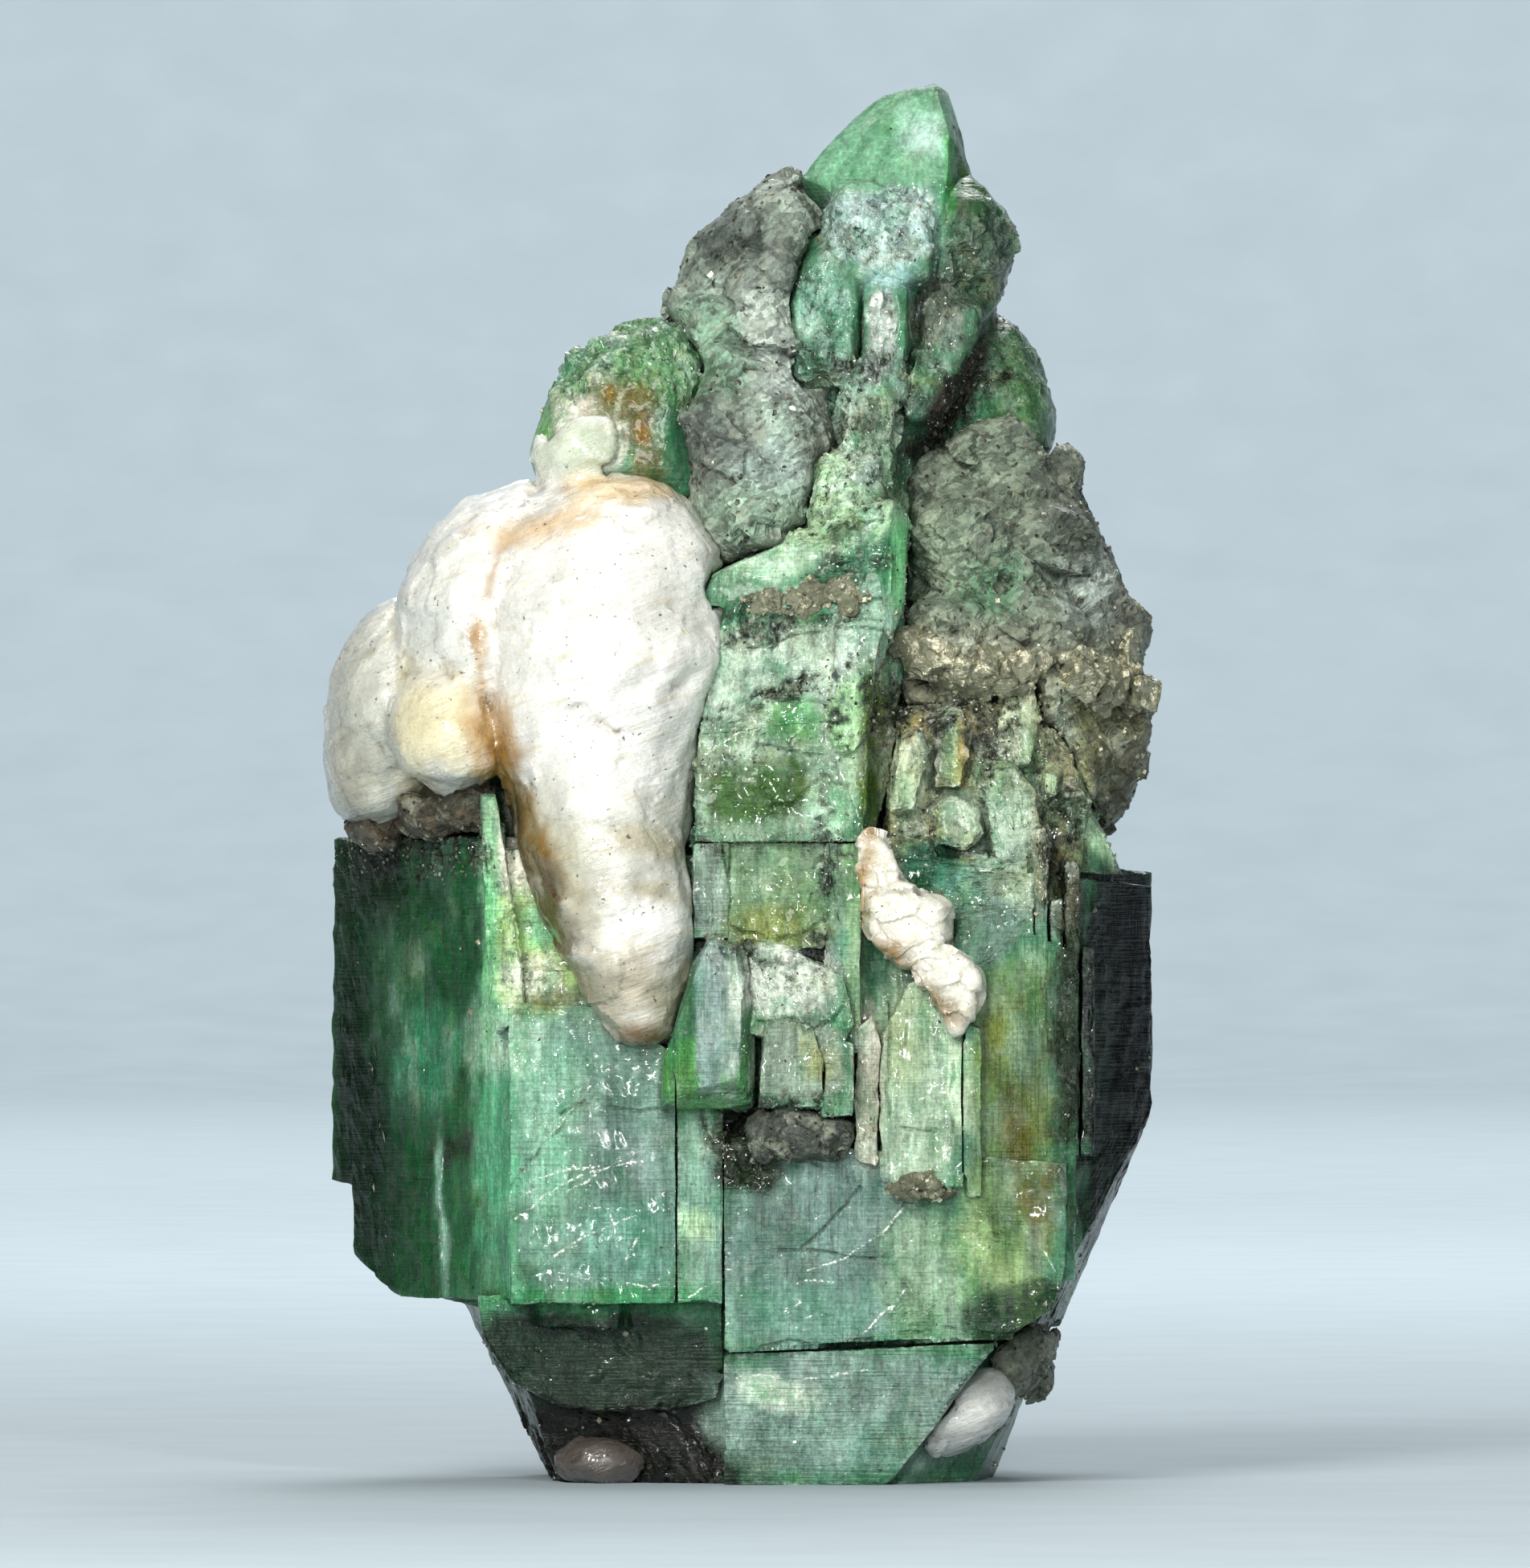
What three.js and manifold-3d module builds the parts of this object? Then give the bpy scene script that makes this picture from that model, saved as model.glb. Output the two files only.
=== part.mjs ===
// A small emerald specimen, about 17.5 mm tall: pale to dark green beryl crystals grown side by side,
// with white quartz lumps on the left, dark mica schist over the top and the right, and crumbs of pyrite.
// Millimetres. The origin is on the resting plane, under the middle of the specimen.
// +x is to the right and +z up, seen from the front, and the front faces -y.
import * as THREE from "three";
import { ConvexGeometry } from "three/addons/geometries/ConvexGeometry.js";
import { mergeVertices } from "three/addons/utils/BufferGeometryUtils.js";
import Module from "manifold-3d";

const wasm = await Module();
wasm.setup();

// Driving dimensions
const HEIGHT = 17.56; // resting plane to the green peak
const REACH = 5.2; // middle to the left and right edges
const FRONT = 3.9; // middle to the plane of the large front faces
const BACK = 4.82; // middle to the rearmost prism face
const FACE_ANGLE = Math.PI / 3; // beryl's prism faces stand 60 degrees apart
const JOINT_GAP = 0.05; // between two minerals that fit into each other
const CLEFT = 0.065; // width of an open cleft between two crystals
const FINEST = 0.002; // joins and cuts merge corners that lie closer than this

// Solids from three.js shapes

function solidOf(geometry) {
  const bare = geometry.clone();
  bare.deleteAttribute("normal");
  bare.deleteAttribute("uv");
  const merged = mergeVertices(bare, 1e-4);
  const mesh = new wasm.Mesh({
    numProp: 3,
    vertProperties: merged.attributes.position.array,
    triVerts: new Uint32Array(merged.index.array),
    tolerance: FINEST,
  });
  return new wasm.Manifold(mesh);
}

function joined(solids) {
  return solids.reduce((whole, solid) => whole.add(solid));
}

function without(solid, cutters) {
  return cutters.reduce((rest, cutter) => rest.subtract(cutter), solid);
}

// Moves each face of a convex body outwards by a distance. A corner goes as far as its faces need.
function pushOut(geometry, distance) {
  const positions = geometry.attributes.position;
  const corners = new Map();
  const triangle = new THREE.Triangle();
  const normal = new THREE.Vector3();
  for (let i = 0; i < positions.count; i += 3) {
    triangle.setFromAttributeAndIndices(positions, i, i + 1, i + 2);
    triangle.getNormal(normal);
    for (const corner of [triangle.a, triangle.b, triangle.c]) {
      const key = corner.toArray().map((value) => value.toFixed(4)).join();
      if (!corners.has(key)) corners.set(key, { faces: [], move: new THREE.Vector3() });
      corners.get(key).faces.push(normal.clone());
    }
  }
  for (const { faces, move } of corners.values()) {
    for (let turn = 0; turn < 40; turn += 1) {
      for (const face of faces) move.addScaledVector(face, Math.max(0, distance - face.dot(move)));
    }
  }
  for (let i = 0; i < positions.count; i += 1) {
    const corner = new THREE.Vector3().fromBufferAttribute(positions, i);
    corner.add(corners.get(corner.toArray().map((value) => value.toFixed(4)).join()).move);
    positions.setXYZ(i, ...corner.toArray());
  }
}

// The hull of some points, with its faces moved outwards by grow
function hullOf(points, grow = 0) {
  const geometry = new ConvexGeometry(points.map((p) => new THREE.Vector3(...p)));
  if (grow > 0) {
    pushOut(geometry, grow);
    const moved = geometry.attributes.position;
    const corners = Array.from({ length: moved.count }, (_, i) => new THREE.Vector3().fromBufferAttribute(moved, i));
    return solidOf(new ConvexGeometry(corners));
  }
  return solidOf(geometry);
}

// The corners of a cut solid's largest piece, three for each triangle, without the crumbs around it
function mainPiece(solid) {
  const { vertProperties: values, triVerts: index } = solid.getMesh();
  const parent = Array.from({ length: values.length / 3 }, (_, i) => i);
  const rootOf = (i) => {
    let root = i;
    while (parent[root] !== root) root = parent[root];
    parent[i] = root;
    return root;
  };
  for (let i = 0; i < index.length; i += 3) {
    parent[rootOf(index[i + 1])] = rootOf(index[i]);
    parent[rootOf(index[i + 2])] = rootOf(index[i]);
  }
  const pieces = new Map();
  const [a, b, c] = [new THREE.Vector3(), new THREE.Vector3(), new THREE.Vector3()];
  for (let i = 0; i < index.length; i += 3) {
    [a, b, c].forEach((corner, j) => corner.fromArray(values, 3 * index[i + j]));
    const root = rootOf(index[i]);
    if (!pieces.has(root)) pieces.set(root, { volume: 0, corners: [] });
    const piece = pieces.get(root);
    piece.corners.push(...a.toArray(), ...b.toArray(), ...c.toArray());
    piece.volume += a.dot(b.cross(c)) / 6;
  }
  return [...pieces.values()].reduce((best, piece) => (piece.volume > best.volume ? piece : best)).corners;
}

// Random numbers that are the same on every run
function sequence(seed) {
  let state = seed * 2654435761 % 4294967296;
  return () => {
    state = (state * 1664525 + 1013904223) % 4294967296;
    return state / 4294967296;
  };
}

// Forms

// A flat-faced block: a convex outline seen from the front, in x and z, from a front face to a back
// plane. The front face leans back by lean for each millimetre up, and by turn for each to the right.
function block({ outline, front, back, lean = 0, turn = 0 }, grow = 0) {
  const middle = [0, 1].map((i) => outline.reduce((sum, p) => sum + p[i], 0) / outline.length);
  const face = outline.map(([x, z]) => [x, front + turn * (x - middle[0]) + lean * (z - middle[1]), z]);
  const rear = outline.map(([x, z]) => [x, back, z]);
  return hullOf([...face, ...rear], grow);
}

// A block with worn edges: only its middle has the full outline, and its front and back faces are
// smaller by the wear, as a share of the outline.
function wornBlock({ outline, front, back, lean = 0, turn = 0, wear = 0.3 }, grow = 0) {
  const middle = [0, 1].map((i) => outline.reduce((sum, p) => sum + p[i], 0) / outline.length);
  const layer = (y, share) => outline.map(([x, z]) => {
    const [dx, dz] = [(x - middle[0]) * share, (z - middle[1]) * share];
    return [middle[0] + dx, y + turn * dx + lean * dz, middle[1] + dz];
  });
  const [near, far] = [0.25, 0.75].map((depth) => front + (back - front) * depth);
  return hullOf([...layer(front, 1 - wear), ...layer(near, 1), ...layer(far, 1), ...layer(back, 1 - wear)], grow);
}

// The hull of several outlines, each in x and z at its own depth y.
function plates(layers, grow = 0) {
  return hullOf(layers.flatMap(({ y, outline }) => outline.map(([x, z]) => [x, y, z])), grow);
}

// A beryl prism, standing upright. faces gives how far its six faces stand from its axis, turning from
// the front by the right: front, right front, right back, back, left back, left front. Its end faces
// tip by topTilt and footTilt, in millimetres up for each millimetre along x and y.
function crystal({ at, faces, foot, top, topTilt = [0, 0], footTilt = [0, 0] }, grow = 0) {
  const normals = faces.map((_, i) => {
    const angle = -Math.PI / 2 + i * FACE_ANGLE;
    return [Math.cos(angle), Math.sin(angle)];
  });
  const corners = faces.map((near, i) => {
    const j = (i + 1) % faces.length;
    const [a, b] = [normals[i], normals[j]];
    const spread = a[0] * b[1] - a[1] * b[0];
    const far = faces[j];
    return [(near * b[1] - far * a[1]) / spread, (far * a[0] - near * b[0]) / spread];
  });
  const end = (level, tilt) =>
    corners.map(([x, y]) => [at[0] + x, at[1] + y, level + tilt[0] * x + tilt[1] * y]);
  return hullOf([...end(foot, footTilt), ...end(top, topTilt)], grow);
}

// An angular rock fragment: the hull of points strewn over an ellipsoid.
function fragment({ at, size, seed, corners = 16 }, grow = 0) {
  const next = sequence(seed);
  const points = [];
  for (let i = 0; i < corners; i += 1) {
    const up = 1 - (2 * (i + 0.5)) / corners;
    const ring = Math.sqrt(1 - up * up);
    const round = i * 2.39996 + next() * 0.9;
    const reach = 0.82 + 0.3 * next();
    points.push([
      at[0] + size[0] * reach * ring * Math.cos(round),
      at[1] + size[1] * reach * ring * Math.sin(round),
      at[2] + size[2] * reach * up,
    ]);
  }
  return hullOf(points, grow);
}

// A rounded lump of quartz: a ball stretched to its size, with shallow swells and hollows.
// swell is their height as a share of the size, and wave how many cross the lump.
function lump({ at, size, seed, detail = 3, swell = 0.07, wave = 2.2, roll = 0 }, grow = 0) {
  const geometry = new THREE.IcosahedronGeometry(1, detail);
  const next = sequence(seed);
  const waves = Array.from({ length: 5 }, () => ({
    along: new THREE.Vector3(next() - 0.5, next() - 0.5, next() - 0.5).normalize(),
    phase: next() * 2 * Math.PI,
    rate: wave * (0.7 + next()),
  }));
  const positions = geometry.attributes.position;
  const point = new THREE.Vector3();
  for (let i = 0; i < positions.count; i += 1) {
    point.fromBufferAttribute(positions, i);
    const height = waves.reduce((sum, w) => sum + Math.sin(w.rate * w.along.dot(point) + w.phase), 0);
    point.multiplyScalar(1 + swell * height * 0.6);
    point.multiply(new THREE.Vector3(...size.map((reach) => reach + grow)));
    positions.setXYZ(i, point.x, point.y, point.z);
  }
  geometry.rotateY(roll);
  geometry.translate(...at);
  return solidOf(geometry);
}

// A knobbly body of quartz around an upright line. Each ring gives its height, its left and right
// reach in x, and its front and back reach in y. The first and the last ring close to a point.
function bulb({ rings, seed, segments = 16, swell = 0.05 }, grow = 0) {
  const next = sequence(seed);
  const waves = Array.from({ length: 4 }, () => [1 + Math.floor(next() * 3), 0.5 + next(), next() * 6.28]);
  const points = [];
  const index = [];
  rings.forEach(({ z, x, y }, level) => {
    const end = level === 0 || level === rings.length - 1;
    const reach = [(x[1] - x[0]) / 2, (y[1] - y[0]) / 2].map((r) => (end ? 0 : r + grow));
    for (let i = 0; i < segments; i += 1) {
      const round = ((i + 0.5 * (level % 2)) * 2 * Math.PI) / segments;
      const rise = waves.reduce((sum, [folds, rate, phase]) => sum + Math.sin(folds * round + rate * z * 2 + phase), 0);
      const share = 1 + swell * rise * 0.6;
      const height = end ? z + grow * (level === 0 ? 1 : -1) : z;
      points.push((x[0] + x[1]) / 2 + reach[0] * share * Math.cos(round));
      points.push((y[0] + y[1]) / 2 + reach[1] * share * Math.sin(round), height);
      if (level > 0) {
        const [a, b] = [(level - 1) * segments, level * segments];
        const j = (i + 1) % segments;
        index.push(a + i, b + i, a + j, a + j, b + i, b + j);
      }
    }
  });
  const geometry = new THREE.BufferGeometry();
  geometry.setAttribute("position", new THREE.BufferAttribute(new Float32Array(points), 3));
  geometry.setIndex(index);
  return solidOf(geometry);
}

// A cube of pyrite, turned at random.
function cube({ at, edge, turns }) {
  const geometry = new THREE.BoxGeometry(edge, edge, edge);
  geometry.rotateX(turns[0] * Math.PI);
  geometry.rotateY(turns[1] * Math.PI);
  geometry.rotateZ(turns[2] * Math.PI);
  geometry.translate(...at);
  return solidOf(geometry);
}

// Everything beyond a broken face that passes through at and looks along facing
function chip({ at, facing }) {
  const reach = 4 * REACH;
  const geometry = new THREE.BoxGeometry(reach, reach, reach);
  geometry.translate(0, 0, reach / 2);
  const turn = new THREE.Quaternion().setFromUnitVectors(
    new THREE.Vector3(0, 0, 1),
    new THREE.Vector3(...facing).normalize(),
  );
  geometry.applyQuaternion(turn);
  geometry.translate(...at);
  return solidOf(geometry);
}

// The half space under the resting plane
function underTheFoot() {
  const depth = 10;
  const geometry = new THREE.BoxGeometry(4 * REACH, 4 * BACK, depth);
  geometry.translate(0, 0, -depth / 2);
  return solidOf(geometry);
}

// The emerald

// Upright prisms grown side by side. They make the trunk, its left and right flanks and its back.
const prisms = {
  trunk: { at: [0, 0], faces: [3.4, 4.75, 3.3, 3.9, 4.3, 4.22], foot: 2.3, top: 8.0, topTilt: [-0.02, 0.05] },
  leftRim: { at: [-2.9, 0.6], faces: [3.1, 1.7, 1.8, 2.0, 2.0, 1.98], foot: 3.6, top: 8.05, footTilt: [-0.06, 0.1] },
  leftFlank: { at: [-2.7, 0], faces: [3.3, 1.8, 1.8, 2.4, 1.98, 1.78], foot: 3.3, top: 7.7 },
  leftStep: { at: [-2.2, -0.6], faces: [3.1, 1.9, 1.6, 1.8, 2.3, 1.94], foot: 2.62, top: 6.4, footTilt: [-0.1, 0] },
  leftHeel: { at: [-2.0, -0.5], faces: [3.0, 1.9, 1.6, 2.2, 2.3, 1.92], foot: 2.25, top: 5, footTilt: [-0.06, 0.1] },
  rightFlank: { at: [2.6, -0.6], faces: [2.85, 2.35, 2.0, 2.6, 2.2, 2.0], foot: 2.0, top: 7.7, topTilt: [-0.1, 0] },
  rightRim: { at: [3.0, 0.7], faces: [2.9, 1.9, 1.84, 2.0, 1.6, 1.6], foot: 2.0, top: 7.78, topTilt: [-0.08, 0] },
  backTall: { at: [-0.6, 1.2], faces: [2.4, 2.4, 2.2, BACK - 1.2, 2.3, 2.3], foot: 1.7, top: 12.1, topTilt: [0.1, -0.4] },
  backLeft: { at: [-2.6, 1.6], faces: [2.0, 1.8, 1.7, 1.9, 1.6, 1.7], foot: 2.6, top: 10.7, topTilt: [0.5, -0.2] },
  backRight: { at: [2.2, 1.5], faces: [2.0, 2.1, 2.0, 2.2, 1.9, 1.9], foot: 1.9, top: 10.9, topTilt: [-0.45, -0.3] },
  backEdge: { at: [0.9, 2.6], faces: [1.5, 1.3, 1.2, 1.6, 1.2, 1.2], foot: 3.0, top: 9.7, topTilt: [0.1, -0.35] },
  core: { at: [0.75, 0.6], faces: [1.9, 1.9, 1.9, 2.0, 2.2, 2.0], foot: 5, top: 13.3, topTilt: [0.1, -0.1] },
  spine: { at: [1.65, 0.4], faces: [1.5, 1.15, 1.0, 1.3, 1.2, 1.3], foot: 9, top: 15.9, topTilt: [0.25, 0.1] },
  shoulder: { at: [-0.9, 0.4], faces: [1.7, 1.3, 1.3, 1.5, 1.3, 1.3], foot: 9, top: 13.9, topTilt: [0.45, 0.05] },
};

// Blocks that stand out of the trunk's front, from the foot upwards
const frontBlocks = {
  lowLeft: {
    outline: [[-3.3, 2.35], [-0.3, 2.35], [-0.3, 1.1], [-0.75, 0.93], [-2.2, 0.93], [-2.85, 1.25], [-3.25, 1.8]],
    front: -3.15, back: 0.5, lean: -0.12,
  },
  lowRight: {
    outline: [[-0.2, 1.64], [3.15, 1.78], [2.85, 1.45], [2.35, 0.8], [2.02, 0.35], [1.6, -0.3], [-0.2, -0.3]],
    front: -3.72, back: 0, lean: -0.28,
  },
  leftPlate: {
    outline: [[-2.9, 2.26], [-0.85, 2.28], [-0.85, 5.35], [-1.6, 5.95], [-2.35, 5.85], [-2.9, 6.0]],
    front: -FRONT, back: -3, lean: 0.02, turn: -0.02,
  },
  leftStrip: { outline: [[-0.78, 2.28], [-0.28, 2.28], [-0.28, 4.8], [-0.78, 4.8]], front: -FRONT, back: -3 },
  rightPlate: {
    outline: [[-0.19, 1.72], [3.3, 1.86], [3.85, 2.2], [4.0, 2.7], [4.0, 4.0], [-0.19, 4.3]],
    front: -FRONT - 0.12, back: -1, turn: 0.03,
  },
  rightCorner: {
    outline: [[3.2, 2.4], [4.12, 2.55], [4.15, 6.6], [3.5, 6.9], [2.9, 6.4], [2.7, 3.9]],
    front: -3.78, back: -1, turn: 0.3,
  },
  yellowFace: {
    outline: [[1.72, 3.78], [2.72, 3.7], [2.74, 5.7], [2.55, 6.2], [2.3, 6.4], [2.05, 6.25], [1.72, 5.6]],
    front: -4.18, back: -3, lean: 0.06,
  },
  yellowRib: { outline: [[2.76, 3.6], [2.95, 3.6], [2.95, 5.7], [2.76, 5.8]], front: -4.2, back: -3 },
  pillar: { outline: [[1.4, 4.02], [1.66, 3.98], [1.69, 5.5], [1.58, 5.85], [1.42, 5.7]], front: -4.16, back: -3 },
  stub: { outline: [[0.2, 4.7], [0.98, 4.7], [0.98, 5.3], [0.85, 5.7], [0.55, 5.82], [0.25, 5.75]], front: -4.6, back: -3 },
  stubSide: { outline: [[0.98, 4.6], [1.36, 4.6], [1.37, 5.5], [1.05, 5.6]], front: -4.48, back: -3 },
  columnFoot: {
    outline: [[0, 5.65], [1.1, 5.25], [1.38, 5.75], [1.25, 6.35], [0.5, 6.72], [-0.05, 6.78]],
    front: -4.32, back: -3, lean: 0.22,
  },
  columnLeft: { outline: [[-0.63, 6.8], [-0.21, 6.8], [-0.19, 7.99], [-0.62, 7.99]], front: -4.0, back: -3 },
  columnMiddle: { outline: [[-0.2, 6.65], [1.05, 6.7], [1.08, 7.99], [-0.2, 7.99]], front: -3.92, back: -3, lean: 0.1 },
  columnRight: { outline: [[1.03, 5.4], [1.44, 5.4], [1.46, 7.99], [1.04, 7.99]], front: -4.06, back: -3, lean: 0.02 },
  columnTop: {
    outline: [[-0.6, 8.0], [1.5, 8.01], [1.55, 9.6], [0.2, 9.85], [-0.55, 9.4]],
    front: -3.88, back: -2, lean: 0.14,
  },
  finger: {
    outline: [[1.08, 9.25], [1.2, 9.08], [1.38, 9.1], [1.52, 9.3], [1.6, 10.2], [1.74, 10.8], [1.15, 10.7]],
    front: -3.98, back: -2, lean: 0.15,
  },
  slab: {
    outline: [[-0.55, 9.35], [1.5, 9.55], [1.86, 10.6], [1.8, 11.35], [-0.2, 11.0]],
    front: -3.55, back: -1, lean: 0.3,
  },
  ridge: {
    outline: [[-0.55, 10.95], [-0.4, 11.35], [0.75, 11.62], [1.35, 11.95], [1.86, 12.27], [1.84, 11.1], [0.5, 10.9]],
    front: -3.3, back: -1, lean: 0.15, turn: -0.12,
  },
  ridgeEnd: { outline: [[1.8, 10.5], [2.02, 10.9], [2.06, 12.05], [1.87, 12.27], [1.72, 11.4]], front: -3.35, back: -1, turn: 1 },
  oliveWall: { outline: [[1.4, 7.9], [1.62, 8.0], [2.05, 10.4], [2.0, 10.9], [1.4, 10.7]], front: -3.0, back: -1, turn: 1.2 },
  neckRib: { outline: [[1.48, 13.45], [2.05, 13.5], [2.05, 15.0], [1.5, 15.1]], front: -2.02, back: 0, lean: 0.18 },
};

// Lobes with worn edges around the top: the neck, the lobes behind it on the right, and the left shoulder
const lobes = {
  neckPale: {
    outline: [[0.7, 11.4], [1.86, 12.1], [1.8, 12.8], [1.35, 12.95], [0.9, 12.75]],
    front: -2.85, back: 0, lean: 0.45, wear: 0.12,
  },
  neckGreen: {
    outline: [[1.15, 12.4], [1.9, 12.6], [1.95, 13.6], [1.7, 13.95], [1.3, 13.85]],
    front: -2.35, back: 0, lean: 0.3, wear: 0.12,
  },
  neckSmooth: {
    outline: [[0.65, 13.7], [1.4, 13.75], [1.52, 14.9], [1.3, 15.45], [0.85, 15.5], [0.55, 14.8]],
    front: -1.75, back: 0, lean: 0.22, wear: 0.15,
  },
  neckAqua: {
    outline: [[1.0, 15.15], [1.5, 14.9], [2.4, 15.0], [2.45, 15.85], [1.6, 16.35], [1.1, 16.3]],
    front: -1.5, back: 0.5, lean: 0.22, wear: 0.12,
  },
  darkLobe: {
    outline: [[2.05, 13.5], [2.55, 13.3], [3.05, 14.2], [3.2, 14.95], [2.2, 15.1]],
    front: -1.35, back: 1.6, turn: 0.3,
  },
  brightLobe: {
    outline: [[1.98, 13.2], [2.45, 13.25], [2.66, 13.8], [2.1, 14.25]],
    front: -1.8, back: 0.2, turn: 0.3, wear: 0.15,
  },
  topLobe: {
    outline: [[2.2, 14.65], [3.2, 14.8], [3.36, 15.2], [3.36, 15.75], [3.2, 16.1], [2.85, 16.35], [2.3, 16.3]],
    front: -1.0, back: 1.1, turn: 0.3, wear: 0.35,
  },
  farLobe: {
    outline: [[2.4, 12.7], [3.85, 12.7], [3.98, 13.25], [3.75, 14.05], [3.3, 14.65], [2.6, 14.5]],
    front: -0.6, back: 1.9, turn: 0.3, lean: 0.15, wear: 0.35,
  },
  leftShoulder: {
    outline: [
      [-2.45, 12.25], [-2.7, 12.85], [-2.45, 13.55], [-2.1, 14.12], [-1.65, 14.43], [-0.95, 14.55],
      [-0.5, 14.0], [-0.6, 12.3],
    ],
    front: -2.25, back: 0.5, lean: 0.3, turn: -0.1, wear: 0.3,
  },
  backNub: {
    outline: [[-2.6, 10.2], [-0.6, 10.2], [-0.5, 12.2], [-1.2, 13.1], [-2.1, 12.8], [-2.6, 12.0]],
    front: 0.4, back: 2.9, wear: 0.35,
  },
};

// Small blocks in the hollow right of the column, in front of its back wall
const hollowBlocks = {
  wall: {
    outline: [[1.75, 7.9], [4.15, 7.3], [4.3, 8.6], [3.9, 9.4], [3.0, 9.8], [1.95, 9.7]],
    front: -2.72, back: 0, lean: 0.12, turn: 0.1,
  },
  paleTooth: {
    outline: [[1.82, 8.32], [2.12, 8.36], [2.34, 9.15], [2.22, 9.42], [1.95, 9.3]],
    front: -3.25, back: -0.5, lean: 0.1, turn: 0.12,
  },
  tallTooth: {
    outline: [[2.38, 8.6], [2.72, 8.66], [2.8, 9.3], [2.68, 9.72], [2.42, 9.6]],
    front: -3.05, back: 0.5, lean: 0.12, turn: -0.2,
  },
  hood: {
    outline: [[2.42, 7.98], [2.75, 7.9], [2.98, 8.1], [2.92, 8.48], [2.6, 8.6], [2.38, 8.42]],
    front: -3.5, back: -2, lean: 0.25,
  },
  highTooth: {
    outline: [[3.12, 8.95], [3.58, 8.9], [3.72, 9.6], [3.5, 10.25], [3.22, 9.95]],
    front: -2.75, back: 0.8, lean: 0.2, turn: -0.15,
  },
  longTooth: {
    outline: [[3.3, 7.05], [3.52, 7.0], [3.72, 7.9], [3.66, 8.7], [3.3, 9.0], [2.98, 8.9], [3.1, 8.1]],
    front: -3.3, back: -1.5, lean: 0.12, turn: 0.1,
  },
  leanTooth: { outline: [[2.92, 8.5], [3.2, 8.48], [3.24, 8.95], [2.98, 9.05]], front: -3.0, back: -1, lean: 0.2, turn: 0.3 },
  smallTooth: { outline: [[3.7, 8.5], [3.92, 8.55], [3.95, 8.9], [3.72, 8.95]], front: -2.95, back: -1, turn: 0.3 },
  midTooth: { outline: [[2.62, 7.25], [3.05, 7.22], [3.02, 7.85], [2.72, 7.9]], front: -3.42, back: -2, lean: 0.15 },
  darkStep: { outline: [[1.5, 7.0], [2.5, 7.1], [2.58, 7.6], [2.3, 8.0], [1.5, 8.1]], front: -3.3, back: -2 },
  tealStep: { outline: [[2.55, 6.3], [3.6, 6.45], [3.6, 7.2], [2.65, 7.1]], front: -3.72, back: -2, lean: 0.1 },
  rimTooth: { outline: [[4.05, 7.6], [4.72, 7.6], [4.45, 8.2], [4.18, 8.6]], front: -2.5, back: -0.5, turn: 0.5 },
};

// Upright ribs at the corner between the front and the right flank
const rib = { width: 0.14, front: -3.7, recede: 0.42, foot: 4.1, tops: [8.15, 7.3, 7.75, 6.7], firstX: 3.62, pitch: 0.2 };

function cornerRibs(grow) {
  return rib.tops.map((top, i) => {
    const x = rib.firstX + i * rib.pitch;
    const outline = [[x, rib.foot], [x + rib.width, rib.foot], [x + rib.width, top], [x, top]];
    return block({ outline, front: rib.front + i * rib.pitch * rib.recede, back: -2 }, grow);
  });
}

// The thin blade that stands out furthest, with sloping green sides
const bladeRim = [[-1.03, 4.68], [0.15, 4.7], [0.14, 5.8], [0.03, 6.6], [-0.4, 6.85], [-0.63, 6.5], [-1.0, 5.3]];
const blade = [
  {
    y: -4.72,
    outline: [[-0.62, 6.3], [-0.42, 6.78], [-0.12, 6.72], [-0.03, 6.3], [-0.06, 5.08], [-0.5, 4.98], [-0.62, 5.15]],
  },
  { y: -4.25, outline: bladeRim },
  { y: -3, outline: bladeRim },
];

// The glassy fin on the left, over the olive pocket
const fin = { outline: [[-3.27, 8.6], [-3.08, 8.6], [-2.95, 6.9], [-2.72, 5.9], [-3.05, 5.6], [-3.2, 6.8]], front: -3.8, back: -2 };

// The clear green tip: two rows of points, along its front edge and along its back
const peak = {
  front: [[0.72, -0.75, 16.35], [1.6, -1.3, 15.9], [2.5, -1.25, 15.75], [2.58, -0.9, 16.9], [2.4, -0.45, HEIGHT - 0.03]],
  crown: [[1.35, -0.15, 17.08], [1.75, -0.1, 17.4], [2.4, 0, HEIGHT], [2.6, 0.1, 17.42]],
  back: [[0.7, 0.7, 16.0], [1.5, 1.1, 16.4], [2.5, 0.9, 16.6], [2.95, 0.3, 16.2], [2.6, 1.2, 15.5], [0.9, 1.3, 15.4]],
};

// The broken foot: the outline on the resting plane and the wider one where it meets the trunk
const foot = {
  low: [[-2.15, -2.1], [-0.3, -2.8], [1.9, -2.9], [2.7, -1.9], [3.0, 0.6], [1.7, 2.5], [-0.7, 2.8], [-2.2, 1.5]],
  high: [[-3.1, -2.4], [-0.3, -3.0], [3.1, -3.0], [4.0, -1.3], [4.0, 1.2], [1.9, 3.3], [-1.8, 3.4], [-3.6, 1.6]],
  rise: 2.3,
  sink: 0.4,
};

function brokenFoot(grow) {
  const points = [
    ...foot.low.map(([x, y]) => [x, y, 0]),
    ...foot.low.map(([x, y]) => [x, y, -foot.sink]),
    ...foot.high.map(([x, y]) => [x, y, foot.rise]),
  ];
  return hullOf(points, grow);
}

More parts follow.
